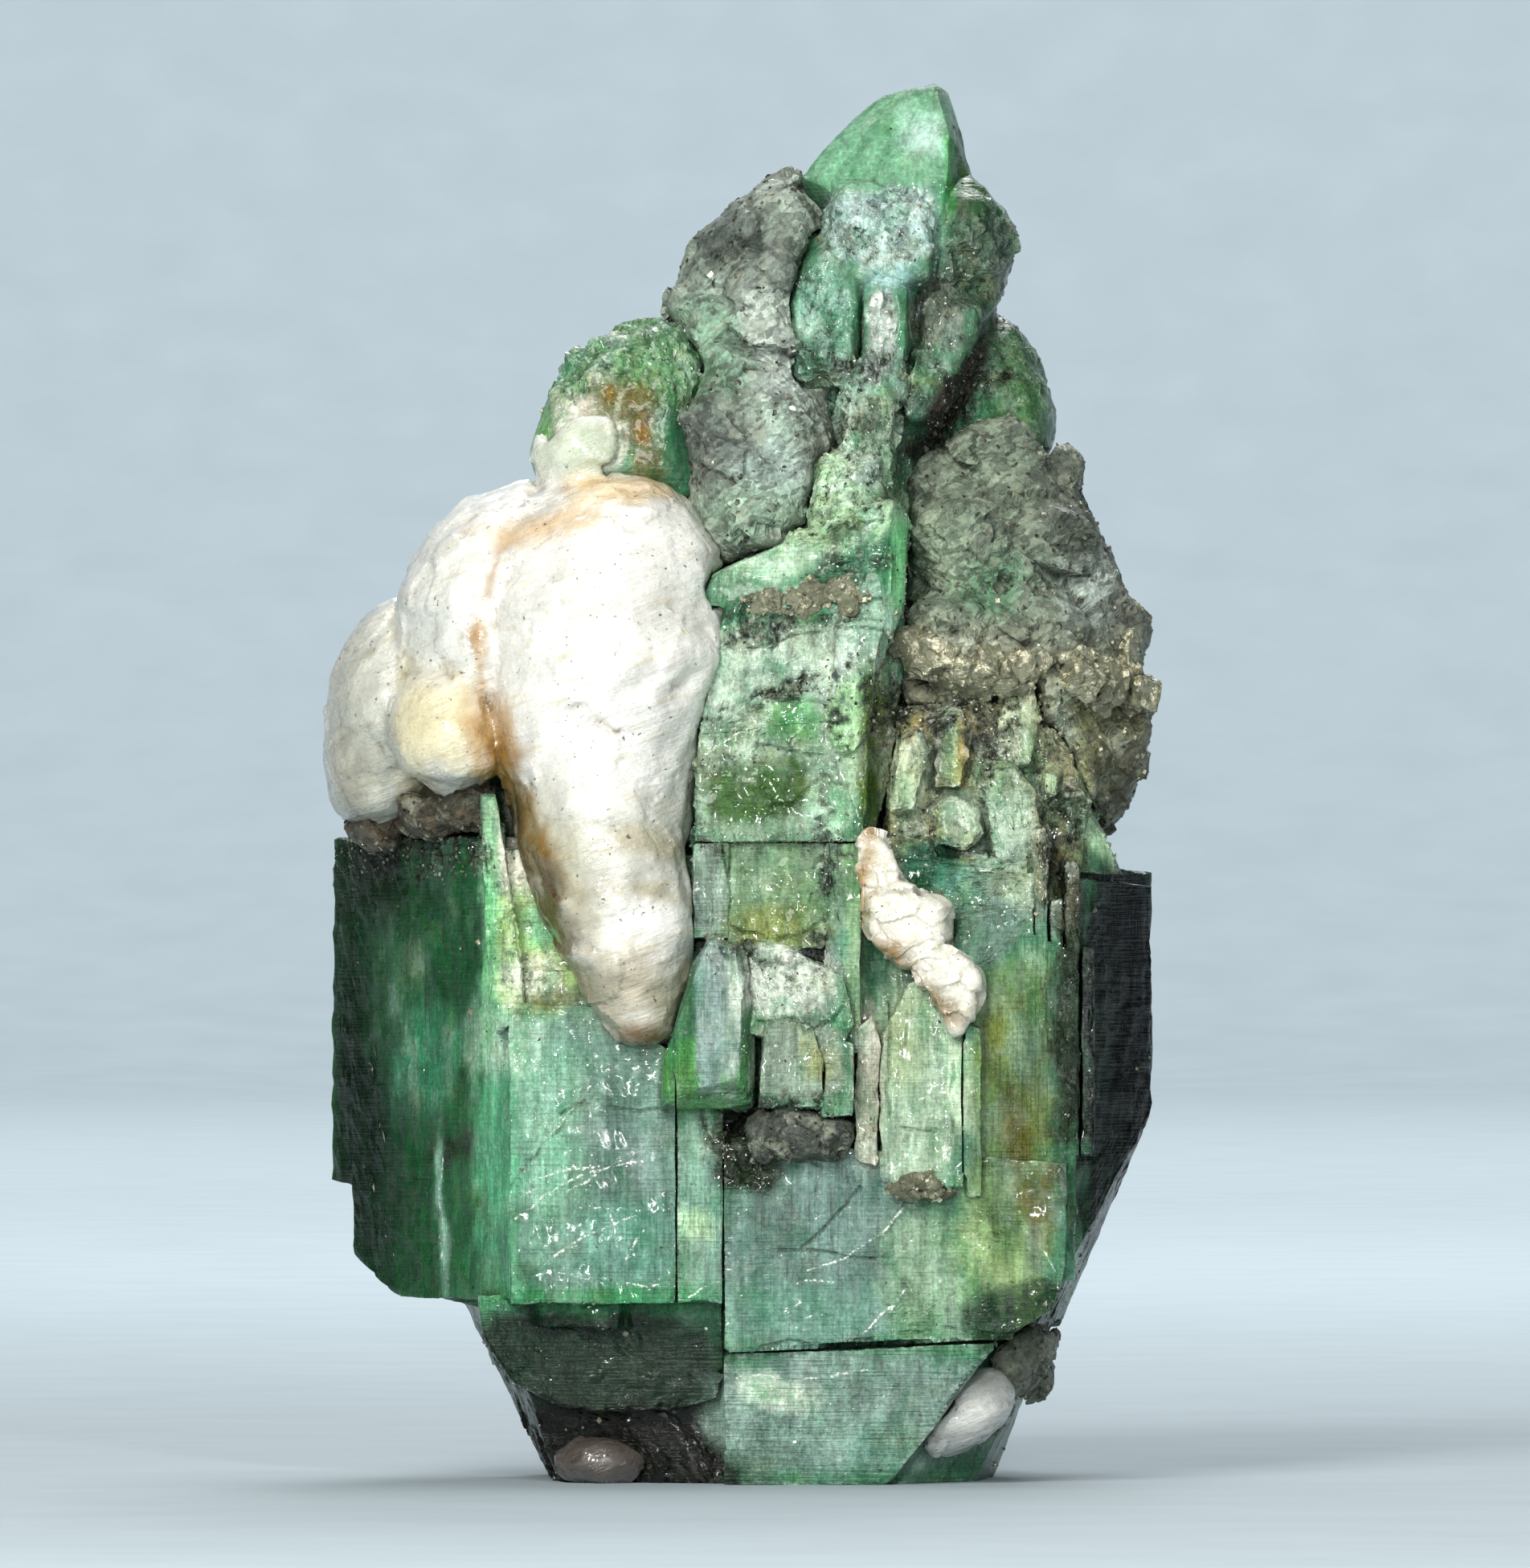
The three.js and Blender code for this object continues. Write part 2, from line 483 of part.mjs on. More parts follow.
// Open clefts between neighbouring crystals, each cut from the front to the depth given
const clefts = {
  centre: { outline: [[-0.28, 0], [-0.28 + CLEFT, 0], [-0.28 + CLEFT, 4.65], [-0.28, 4.65]], front: -5, back: -3.55 },
  strip: { outline: [[-0.87, 2.2], [-0.87 + CLEFT, 2.2], [-0.87 + CLEFT, 4.9], [-0.87, 5.2]], front: -5, back: -3.65 },
  floor: { outline: [[-0.2, 1.6], [3.6, 1.78], [3.4, 1.87], [1.5, 1.72], [-0.2, 1.7]], front: -5, back: -3.1 },
  columnJoint: { outline: [[-0.62, 7.97], [1.5, 7.97], [1.5, 8.03], [-0.62, 8.03]], front: -5, back: -3.5 },
  yellowJoint: { outline: [[2.69, 3.9], [2.76, 3.9], [2.76, 5.5], [2.69, 5.5]], front: -5, back: -3.9 },
};

// Broken faces that slant in under the prisms, at the lower right, the lower left and the back
const brokenFaces = [
  { at: [5.1, 0, 4.4], facing: [1.62, -0.15, -0.75] },
  { at: [4.35, 0, 2.78], facing: [1.2, 0.1, -0.45] },
  { at: [3.9, 0, 1.58], facing: [0.88, 0, -0.6] },
  { at: [-4.45, 0, 2.4], facing: [-0.55, 0, -0.9] },
  { at: [-3.7, 0, 2.06], facing: [-0.5, 0.1, -0.85] },
  { at: [0, 4.2, 4.0], facing: [0.1, 1.0, -0.45] },
  { at: [0, 3.3, 1.9], facing: [-0.15, 0.8, -0.6] },
];

function emeraldCrystals(grow) {
  const blocks = [...Object.values(frontBlocks), ...Object.values(hollowBlocks), fin];
  const broken = brokenFaces.map(({ at, facing }) => {
    const outward = new THREE.Vector3(...facing).setLength(grow);
    return chip({ at: at.map((value, i) => value + outward.getComponent(i)), facing });
  });
  const grown = [
    without(joined(Object.values(prisms).map((form) => crystal(form, grow))), broken),
    ...blocks.map((form) => block(form, grow)),
    ...Object.values(lobes).map((form) => wornBlock(form, grow)),
    ...cornerRibs(grow),
    plates(blade, grow),
    hullOf([...peak.front, ...peak.crown, ...peak.back], grow),
    brokenFoot(grow),
  ];
  const open = grow > 0 ? [] : Object.values(clefts).map((form) => block(form));
  return without(joined(grown), open);
}

// The mica schist

const schist = {
  mica_schist_cap: {
    masses: [
      [
        { y: -1.15, outline: [[-0.5, 14.8], [0.5, 14.6], [0.9, 15.3], [0.6, 16.0], [0.0, 15.9], [-0.5, 15.4]] },
        { y: -0.2, outline: [[-1.0, 14.5], [0.9, 14.4], [1.2, 15.6], [0.75, 16.45], [0.2, 16.3], [-0.62, 15.6]] },
        { y: 1.2, outline: [[-0.8, 14.2], [0.9, 14.2], [1.2, 15.4], [0.6, 16.1], [-0.3, 15.6]] },
      ],
      [
        { y: -2.6, outline: [[-0.5, 11.6], [0.5, 11.7], [0.75, 12.4], [0.3, 12.9], [-0.4, 12.8]] },
        { y: -2.0, outline: [[-0.75, 11.3], [0.9, 11.5], [1.1, 12.7], [0.75, 13.7], [-0.2, 14.1], [-0.75, 13.0]] },
        { y: -0.8, outline: [[-0.9, 11.4], [1.1, 11.5], [1.1, 14.0], [0.4, 15.0], [-0.9, 14.6]] },
      ],
      [
        { y: -1.75, outline: [[-0.2, 13.7], [0.6, 13.5], [0.7, 14.7], [0.45, 15.3], [0.0, 15.0]] },
        { y: -0.6, outline: [[-0.7, 13.4], [1.0, 13.3], [1.1, 15.3], [0.5, 16.0], [-0.4, 15.4]] },
      ],
    ],
    fragments: [
      { at: [-0.3, -0.7, 14.6], size: [0.7, 0.9, 0.55], seed: 12 },
      { at: [0.15, -1.35, 14.1], size: [0.7, 0.6, 0.75], seed: 13 },
      { at: [-0.35, -1.9, 13.2], size: [0.6, 0.6, 0.6], seed: 15 },
      { at: [0.4, -2.2, 13.0], size: [0.65, 0.55, 0.55], seed: 17 },
      { at: [0.2, -2.6, 12.1], size: [0.6, 0.5, 0.5], seed: 18 },
    ],
  },
  mica_schist_flank: {
    masses: [
      [
        { y: -2.3, outline: [[2.3, 8.8], [3.5, 8.6], [4.1, 9.3], [3.9, 10.4], [3.2, 11.4], [2.4, 11.3], [2.2, 10.0]] },
        {
          y: -0.9,
          outline: [[1.9, 8.2], [4.4, 8.0], [4.95, 8.7], [5.08, 9.9], [4.8, 11.1], [4.25, 12.2], [3.5, 12.8], [2, 13]],
        },
        { y: 0.8, outline: [[2.0, 8.0], [4.7, 8.2], [5.05, 9.6], [4.75, 11.3], [4.1, 12.6], [2.8, 13.0]] },
        { y: 2.2, outline: [[2.4, 8.4], [3.6, 8.6], [3.9, 10.2], [3.2, 11.8], [2.4, 12.2]] },
      ],
      [
        { y: -2.6, outline: [[2.05, 9.5], [3.2, 9.3], [3.9, 9.1], [3.9, 10.1], [3.1, 10.9], [2.3, 10.9]] },
        { y: -0.9, outline: [[1.8, 9.2], [4.5, 8.6], [4.5, 10.3], [2.9, 11.6], [1.9, 11.4]] },
      ],
    ],
    fragments: [
      { at: [3.1, -0.5, 12.9], size: [0.8, 0.9, 0.6], seed: 21 },
      { at: [3.75, 0.2, 12.6], size: [0.6, 1.0, 0.65], seed: 22 },
      { at: [2.7, -1.9, 11.7], size: [0.75, 0.8, 0.75], seed: 23 },
      { at: [3.7, -1.2, 11.7], size: [0.8, 0.9, 0.7], seed: 24 },
      { at: [2.5, -2.4, 10.6], size: [0.6, 0.7, 0.6], seed: 25 },
      { at: [3.6, -1.9, 10.6], size: [0.8, 0.8, 0.6], seed: 26 },
      { at: [4.6, -0.4, 10.6], size: [0.6, 0.9, 0.6], seed: 27 },
      { at: [4.5, -0.9, 9.2], size: [0.68, 0.9, 0.8], seed: 28 },
      { at: [3.9, -1.8, 8.9], size: [0.7, 0.7, 0.7], seed: 29 },
      { at: [4.4, 1.2, 9.0], size: [0.75, 1.0, 0.85], seed: 31 },
      { at: [4.1, 1.6, 10.7], size: [0.9, 0.9, 0.8], seed: 32 },
      { at: [3.4, 1.7, 12.1], size: [0.8, 0.8, 0.7], seed: 33 },
    ],
  },
  mica_schist_back: {
    masses: [
      [
        { y: 1.0, outline: [[-0.4, 12.4], [2.4, 12.6], [2.4, 14.2], [1.2, 14.7], [-0.2, 13.9]] },
        { y: 2.6, outline: [[-0.9, 9.8], [2.7, 8.6], [3.2, 10.6], [2.6, 12.6], [0.6, 13.2], [-0.7, 12.2]] },
        { y: 3.8, outline: [[0.4, 9.9], [1.9, 9.2], [2.4, 10.6], [1.6, 11.9], [0.5, 11.6]] },
      ],
    ],
    fragments: [
      { at: [1.2, 3.3, 10.2], size: [0.9, 0.7, 0.8], seed: 41 },
      { at: [0.3, 2.9, 12.0], size: [0.9, 0.8, 0.8], seed: 43 },
      { at: [1.2, 1.9, 13.4], size: [0.9, 0.8, 0.8], seed: 44 },
    ],
  },
  mica_schist_foot: {
    masses: [
      [
        { y: -2.6, outline: [[2.6, 1.3], [3.3, 1.2], [3.7, 1.6], [3.4, 2.0], [2.8, 1.9]] },
        { y: -1.2, outline: [[2.6, 0.6], [3.3, 0.75], [3.75, 1.3], [3.95, 1.8], [3.2, 2.2]] },
        { y: 1.0, outline: [[2.4, 0.3], [3.2, 0.5], [3.8, 1.3], [3.9, 1.9], [3.0, 2.2]] },
      ],
    ],
    fragments: [
      { at: [3.0, -1.9, 0.9], size: [0.4, 0.7, 0.5], seed: 52 },
      { at: [3.5, -0.4, 1.3], size: [0.45, 0.6, 0.5], seed: 53 },
    ],
  },
  mica_schist_left: {
    masses: [],
    fragments: [
      { at: [-3.9, -1.7, 8.35], size: [0.6, 0.9, 0.42], seed: 61 },
      { at: [-3.4, -2.5, 8.45], size: [0.45, 0.7, 0.42], seed: 62 },
      { at: [-4.45, -0.8, 8.2], size: [0.6, 1.0, 0.4], seed: 63 },
    ],
  },
  mica_schist_stub: {
    masses: [],
    fragments: [
      { at: [0.68, -4.1, 4.42], size: [0.5, 0.5, 0.42], seed: 71 },
      { at: [1.05, -4.1, 4.4], size: [0.36, 0.45, 0.36], seed: 72 },
      { at: [0.28, -4.0, 4.35], size: [0.32, 0.4, 0.4], seed: 73 },
    ],
  },
};

// The quartz

const quartz = {
  quartz_lumps: {
    bulbs: [
      {
        seed: 5,
        rings: [
          { z: 12.64, x: [-1.85, -1.15], y: [-2.1, -1.2] },
          { z: 12.48, x: [-2.38, -0.84], y: [-2.75, -0.9] },
          { z: 12.1, x: [-2.85, -0.5], y: [-3.35, -0.6] },
          { z: 11.55, x: [-3.22, -0.32], y: [-3.95, -0.5] },
          { z: 10.9, x: [-3.34, -0.22], y: [-4.35, -0.5] },
          { z: 10.2, x: [-3.37, -0.12], y: [-4.65, -0.5] },
          { z: 9.7, x: [-3.33, -0.38], y: [-4.75, -0.8] },
          { z: 9.1, x: [-3.13, -0.6], y: [-4.75, -1.2] },
          { z: 8.5, x: [-2.85, -0.64], y: [-4.78, -1.6] },
          { z: 7.8, x: [-2.72, -0.62], y: [-4.82, -2.2] },
          { z: 7.1, x: [-2.42, -0.6], y: [-4.82, -2.6] },
          { z: 6.5, x: [-2.12, -0.66], y: [-4.72, -2.9] },
          { z: 5.95, x: [-1.82, -0.82], y: [-4.5, -3.0] },
          { z: 5.58, x: [-1.5, -1.0], y: [-4.25, -3.2] },
          { z: 5.45, x: [-1.3, -1.1], y: [-4.0, -3.6] },
        ],
      },
      {
        seed: 15,
        rings: [
          { z: 12.55, x: [-2.9, -2.3], y: [-2.0, -1.2] },
          { z: 12.2, x: [-3.5, -1.9], y: [-2.7, -0.6] },
          { z: 11.7, x: [-3.98, -2.0], y: [-3.25, -0.3] },
          { z: 11.1, x: [-4.34, -2.2], y: [-3.55, 0] },
          { z: 10.4, x: [-4.38, -2.3], y: [-3.6, 0.2] },
          { z: 9.8, x: [-4.3, -2.3], y: [-3.5, 0.2] },
          { z: 9.2, x: [-4.1, -2.5], y: [-3.2, 0] },
          { z: 8.9, x: [-3.7, -2.9], y: [-2.4, -0.6] },
        ],
      },
      {
        seed: 25,
        rings: [
          { z: 11.05, x: [-4.5, -4.2], y: [-1.5, -0.6] },
          { z: 10.7, x: [-4.78, -3.7], y: [-2.1, 0.1] },
          { z: 10.2, x: [-5.08, -3.5], y: [-2.5, 0.4] },
          { z: 9.6, x: [-5.2, -3.5], y: [-2.65, 0.6] },
          { z: 9.0, x: [-5.2, -3.7], y: [-2.5, 0.6] },
          { z: 8.45, x: [-5.15, -4.1], y: [-2.1, 0.5] },
          { z: 8.1, x: [-4.9, -4.5], y: [-1.5, 0] },
        ],
      },
      {
        seed: 35,
        swell: 0.08,
        rings: [
          { z: 10.4, x: [-3.8, -3.4], y: [-3.1, -2.2] },
          { z: 10.0, x: [-4.2, -3.0], y: [-3.65, -1.6] },
          { z: 9.45, x: [-4.33, -2.85], y: [-3.85, -1.4] },
          { z: 8.95, x: [-4.25, -2.95], y: [-3.75, -1.4] },
          { z: 8.6, x: [-3.95, -3.3], y: [-3.2, -1.8] },
        ],
      },
    ],
    lumps: [{ at: [-1.95, -2.05, 12.8], size: [0.65, 0.6, 0.72], seed: 45, detail: 2 }],
  },
  quartz_foot_right: {
    bulbs: [],
    lumps: [{ at: [2.72, -2.75, 0.9], size: [0.7, 0.7, 0.46], seed: 65, roll: -0.35, detail: 2 }],
  },
  quartz_foot_left: {
    bulbs: [],
    lumps: [{ at: [-1.75, -2.5, 0.24], size: [0.55, 0.5, 0.26], seed: 75, detail: 2 }],
  },
  quartz_back: {
    bulbs: [],
    lumps: [
      { at: [-1.9, 3.6, 6.9], size: [1.15, 0.75, 1.25], seed: 85, roll: 0.3 },
      { at: [-1.2, 3.8, 5.6], size: [0.9, 0.6, 1.0], seed: 86, detail: 2 },
    ],
  },
};

// A seam of quartz that runs down to the right between the front crystals
const seam = [
  {
    outline: [[1.42, 8.0], [1.55, 8.12], [1.76, 8.05], [1.97, 7.56], [1.88, 7.1], [1.5, 7.05]],
    front: -4.15, back: -3.0, wear: 0.12,
  },
  {
    outline: [[1.5, 7.35], [1.95, 7.55], [2.5, 7.2], [2.56, 6.85], [2.34, 6.5], [2.0, 6.5], [1.55, 6.85]],
    front: -4.4, back: -3.0, wear: 0.15,
  },
  {
    outline: [[2.1, 6.65], [2.5, 6.75], [2.92, 6.4], [2.88, 5.95], [2.68, 5.55], [2.5, 5.8], [2.35, 6.2]],
    front: -4.42, back: -3.2, wear: 0.15,
  },
];

// The pyrite: cubes on a thin crust. Each patch gives the crust's lumps and where the cubes stand.
const pyrite = {
  pyrite_flank: {
    crust: [
      { at: [2.35, -2.9, 10.35], size: [0.45, 0.35, 0.33], seed: 91 },
      { at: [2.8, -2.7, 10.15], size: [0.5, 0.4, 0.33], seed: 92 },
      { at: [3.35, -2.6, 10.15], size: [0.5, 0.4, 0.3], seed: 93 },
      { at: [3.9, -2.3, 10.1], size: [0.5, 0.4, 0.35], seed: 94 },
      { at: [4.4, -1.8, 10.0], size: [0.45, 0.45, 0.35], seed: 95 },
      { at: [4.75, -1.3, 9.85], size: [0.35, 0.4, 0.32], seed: 96 },
    ],
    cubes: 12,
    edge: [0.18, 0.36],
    seed: 97,
  },
  pyrite_bar: {
    crust: [{ at: [4.83, -1.25, 10.32], size: [0.13, 0.3, 0.42], seed: 98, corners: 12 }],
    cubes: 4,
    edge: [0.12, 0.2],
    seed: 99,
  },
  pyrite_band: {
    crust: [
      { at: [-0.25, -3.3, 10.93], size: [0.36, 0.22, 0.16], seed: 101 },
      { at: [0.25, -3.34, 10.95], size: [0.4, 0.24, 0.18], seed: 102 },
      { at: [0.8, -3.38, 11.02], size: [0.4, 0.24, 0.18], seed: 103 },
      { at: [1.3, -3.44, 11.12], size: [0.36, 0.24, 0.2], seed: 104 },
    ],
    cubes: 11,
    edge: [0.12, 0.22],
    seed: 105,
  },
  pyrite_front: {
    crust: [
      { at: [2.05, -4.22, 3.72], size: [0.3, 0.17, 0.15], seed: 106 },
      { at: [2.4, -4.22, 3.72], size: [0.3, 0.17, 0.14], seed: 107 },
    ],
    cubes: 5,
    edge: [0.12, 0.2],
    seed: 108,
  },
  pyrite_back: {
    crust: [
      { at: [0.2, 3.9, 8.9], size: [0.8, 0.55, 0.6], seed: 109 },
      { at: [-0.6, 3.9, 8.3], size: [0.6, 0.5, 0.5], seed: 110 },
    ],
    cubes: 12,
    edge: [0.2, 0.5],
    seed: 111,
  },
};

// Cubes set into the skin of a crust's lumps, on the side that faces out of the specimen
function pyritePatch({ crust, cubes, edge, seed }, grow) {
  const next = sequence(seed);
  const grown = crust.map((form) => fragment(form, grow));
  for (let i = 0; i < cubes; i += 1) {
    const host = crust[i % crust.length];
    const outward = Math.sign(host.at[1]);
    const round = (next() - 0.5) * Math.PI;
    const rise = (next() - 0.5) * 2;
    const ring = Math.sqrt(1 - rise * rise);
    const at = [
      host.at[0] + host.size[0] * 0.8 * Math.sin(round) * ring,
      host.at[1] + host.size[1] * 0.8 * outward * Math.cos(round) * ring,
      host.at[2] + host.size[2] * 0.8 * rise,
    ];
    const side = edge[0] + (edge[1] - edge[0]) * next() + 2 * grow;
    grown.push(cube({ at, edge: side, turns: [next(), next(), next()] }));
  }
  return joined(grown);
}

// Materials

function mineral(color, roughness, metalness = 0) {
  return new THREE.MeshStandardMaterial({ color, roughness, metalness, flatShading: true });
}

const materials = {
  emerald: mineral(0x5f9473, 0.35),
  schist: mineral(0x6b7365, 0.7),
  quartz: mineral(0xe9eae0, 0.45),
  pyrite: mineral(0xa89a6a, 0.35, 0.9),
};

// The specimen

const specimen = new THREE.Group();

// Adds one mineral piece to the specimen.
function place(name, material, solid) {
  const geometry = new THREE.BufferGeometry();
  geometry.setAttribute("position", new THREE.Float32BufferAttribute(mainPiece(solid), 3));
  geometry.computeVertexNormals();
  const mesh = new THREE.Mesh(geometry, material);
  mesh.name = name;
  specimen.add(mesh);
}

// The minerals in the order in which they make room for each other: each piece is cut by the ones
// before it, grown by the joint gap.
const pieces = [
  { name: "emerald_crystals", material: materials.emerald, form: emeraldCrystals },
  ...Object.entries(quartz).map(([name, { bulbs, lumps }]) => ({
    name,
    material: materials.quartz,
    form: (grow) => joined([...bulbs.map((one) => bulb(one, grow)), ...lumps.map((one) => lump(one, grow))]),
  })),
  {
    name: "quartz_seam",
    material: materials.quartz,
    form: (grow) => joined(seam.map((one) => wornBlock(one, grow))),
  },
  ...Object.entries(schist).map(([name, { masses, fragments }]) => ({
    name,
    material: materials.schist,
    form: (grow) => joined([
      ...masses.map((one) => plates(one, grow)),
      ...fragments.map((one) => fragment(one, grow)),
    ]),
  })),
  ...Object.entries(pyrite).map(([name, patch]) => ({
    name,
    material: materials.pyrite,
    form: (grow) => pyritePatch(patch, grow),
  })),
];

const cutters = [underTheFoot()];
for (const { name, material, form } of pieces) {
  place(name, material, without(form(0), cutters));
  cutters.push(form(JOINT_GAP));
}

export default specimen;
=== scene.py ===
# %% [markdown]
# # A natural emerald specimen with quartz, mica schist and pyrite
#
# The object is a stone about 18 mm high: a bundle of green beryl prisms, a lobed mass of white quartz, dark
# glittering mica schist and a crust of brassy pyrite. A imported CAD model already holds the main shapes, so this
# script only has to give each mineral its real surface: worn edges, chips, cracks, flakes and stains.
#
# Everything is measured in millimetres and turned to metres when a mesh is made.

import itertools
import math

import bpy
import numpy as np
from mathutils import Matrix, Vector


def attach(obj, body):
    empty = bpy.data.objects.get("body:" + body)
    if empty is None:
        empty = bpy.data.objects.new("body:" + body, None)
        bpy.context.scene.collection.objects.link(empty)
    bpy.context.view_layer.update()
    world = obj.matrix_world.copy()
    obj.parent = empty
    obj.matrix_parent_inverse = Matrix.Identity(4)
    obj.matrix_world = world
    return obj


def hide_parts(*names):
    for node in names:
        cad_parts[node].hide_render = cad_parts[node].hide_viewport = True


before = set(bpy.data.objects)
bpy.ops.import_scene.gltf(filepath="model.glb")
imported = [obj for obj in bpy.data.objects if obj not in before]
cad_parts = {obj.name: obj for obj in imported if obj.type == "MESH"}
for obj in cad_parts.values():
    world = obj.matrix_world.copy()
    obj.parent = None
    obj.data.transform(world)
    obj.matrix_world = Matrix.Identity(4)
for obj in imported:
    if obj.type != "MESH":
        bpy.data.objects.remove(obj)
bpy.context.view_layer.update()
MM = 0.001

# %% [markdown]
# Minerals are never one colour, so this file mixes many. They are written as sRGB hex values, as a paint chart
# gives them, and one function turns them to the linear values that Blender mixes and lights.

# %% Colours
def linear(hex_colour):
    """An sRGB hex colour as linear red, green and blue."""
    parts = [int(hex_colour[i:i + 2], 16) / 255 for i in (1, 3, 5)]
    return tuple(p / 12.92 if p <= 0.04045 else ((p + 0.055) / 1.055) ** 2.4 for p in parts)


print("emerald green in linear light:", [round(v, 3) for v in linear("#4a9465")])

# %% [markdown]
# A CAD solid has few, large triangles. To show wear it needs many small ones, but its creases have to stay where
# they are. A voxel remesh would round them and close the thin clefts. So each edge that is too long is halved, and
# its triangles with it, again and again, until no edge is longer than we ask for at that place.

# %% Read a solid, and cut its triangles finer
def solid_mesh(name):
    """The corners in mm and the triangles of a CAD node, with doubled corners joined."""
    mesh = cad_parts[name].data
    mesh.calc_loop_triangles()
    corners = np.empty(len(mesh.vertices) * 3)
    mesh.vertices.foreach_get("co", corners)
    triangles = np.empty(len(mesh.loop_triangles) * 3, dtype=np.int32)
    mesh.loop_triangles.foreach_get("vertices", triangles)
    corners, joined = np.unique(np.round(corners.reshape(-1, 3) / MM, 4), axis=0, return_inverse=True)
    triangles = joined.reshape(-1)[triangles].reshape(-1, 3)
    a, b, c = triangles.T
    return corners, triangles[(a != b) & (b != c) & (c != a)]


def edge_list(triangles, count):
    """Each edge once, as pairs of corners, and for each triangle which edges it has."""
    pairs = np.sort(np.stack([triangles, np.roll(triangles, -1, axis=1)], axis=2), axis=2)
    keys, which = np.unique(pairs[..., 0].astype(np.int64) * count + pairs[..., 1], return_inverse=True)
    return np.stack([keys // count, keys % count], axis=1), which.reshape(-1, 3)


def refine(corners, triangles, wanted, passes=12):
    """Halves every edge that is longer than wanted(its middle), until none is."""
    for _ in range(passes):
        edges, which = edge_list(triangles, len(corners))
        start, end = corners[edges[:, 0]], corners[edges[:, 1]]
        middle = (start + end) / 2
        long = np.linalg.norm(end - start, axis=1) > wanted(middle)
        if not long.any():
            break
        new = np.full(len(edges), -1)
        new[long] = len(corners) + np.arange(long.sum())
        corners = np.concatenate([corners, middle[long]])
        halved = new[which]
        count = (halved >= 0).sum(axis=1)
        parts = [triangles[count == 0]]
        for turn in range(3):
            a, b, c = np.roll(triangles, -turn, axis=1).T
            ab, bc, ca = np.roll(halved, -turn, axis=1).T
            one = (count == 1) & (ab >= 0)
            parts += [np.stack([a, ab, c], 1)[one], np.stack([ab, b, c], 1)[one]]
            two = (count == 2) & (ca < 0)
            parts += [np.stack([ab, b, bc], 1)[two], np.stack([a, ab, bc], 1)[two],
                      np.stack([a, bc, c], 1)[two]]
            if turn == 0:
                three = count == 3
                parts += [np.stack(corner, 1)[three]
                          for corner in ((a, ab, ca), (ab, b, bc), (ca, bc, c), (ab, bc, ca))]
        triangles = np.concatenate(parts)
    return corners, triangles


def facing(corners, triangles):
    """The outward direction at each corner."""
    a, b, c = (corners[triangles[:, i]] for i in range(3))
    flat = np.cross(b - a, c - a)
    total = np.stack([sum(np.bincount(triangles[:, i], flat[:, axis], len(corners)) for i in range(3))
                      for axis in range(3)], axis=1)
    return total / np.maximum(np.linalg.norm(total, axis=1), 1e-12)[:, None]


def eased(corners, edges, rounds):
    """The corners after each has moved to the middle of its neighbours, that many times."""
    ends = np.concatenate([edges, edges[:, ::-1]])
    count = np.bincount(ends[:, 0], minlength=len(corners))
    for _ in range(rounds):
        corners = np.stack([np.bincount(ends[:, 0], corners[ends[:, 1], axis], len(corners)) / count
                            for axis in range(3)], axis=1)
    return corners


corners, triangles = solid_mesh("emerald_crystals")
print("the emerald solid has", len(triangles), "triangles")

# %% [markdown]
# Nature's roughness is random but not without order. Two patterns do the work here, and both give the same result
# on each run, because they come from the place itself and a number called a seed: `ripple` is smooth and rolling,
# like a worn face, and `chips` breaks a face into small flat facets, as a blow does. `fade` turns a hard border
# into a soft one, and `swirl` bends a pattern so that it never looks ruled.

# %% Patterns in space
def hashed(cell, seed):
    """A repeatable number from 0 to 1 for each whole-numbered place."""
    n = (cell[:, 0] * 374761393 + cell[:, 1] * 668265263 + cell[:, 2] * 362437 + seed * 974711) & 0xFFFFFFFF
    n = ((n ^ (n >> 13)) * 1274126177) & 0xFFFFFFFF
    return ((n ^ (n >> 16)) & 0xFFFF) / 65535.0


def fade(amount):
    """0 below 0, 1 above 1, and a smooth rise between."""
    amount = np.clip(amount, 0, 1)
    return amount * amount * (3 - 2 * amount)


def front_of(points):
    """1 on the front of the stone, falling to 0 past its middle."""
    return 1 - fade((points[:, 1] - 0.3) / 1.6)


def ripple(points, size, seed):
    """Rolling noise from -1 to 1 with swells about `size` mm long; size may differ by axis."""
    place = points / np.asarray(size, float)
    cell = np.floor(place).astype(np.int64)
    part = fade(place - cell)
    total = np.zeros(len(points))
    for step in itertools.product((0, 1), repeat=3):
        share = np.prod(np.where(step, part, 1 - part), axis=1)
        total += share * hashed(cell + step, seed)
    return total * 2 - 1


def swirl(points, size, seed):
    """Three ripples at once, as a direction to push each point in."""
    return np.stack([ripple(points, size, seed + axis) for axis in range(3)], axis=1)


def chips(points, size, seed, slope=1.0):
    """The height, about -1 to 1, of a surface broken into facets `size` mm across, each sloped its own way."""
    place = points / np.asarray(size, float)
    cell = np.floor(place - 0.5).astype(np.int64)
    nearest = np.full(len(points), 9.0)
    height = np.zeros(len(points))
    for step in itertools.product((0, 1), repeat=3):
        corner = cell + step
        random = np.stack([hashed(corner, seed + k) for k in range(6)], axis=1)
        away = place - corner - 0.15 - 0.7 * random[:, :3]
        distance = (away ** 2).sum(axis=1)
        closer = distance < nearest
        nearest = np.where(closer, distance, nearest)
        tilt = (away * (random[:, 3:] - 0.5)).sum(axis=1)
        height = np.where(closer, random[:, 3] - 0.5 + 2 * slope * tilt, height)
    return height


print("ripple at one place:", round(float(ripple(np.array([[1.0, 2.0, 3.0]]), 0.5, 1)[0]), 3))

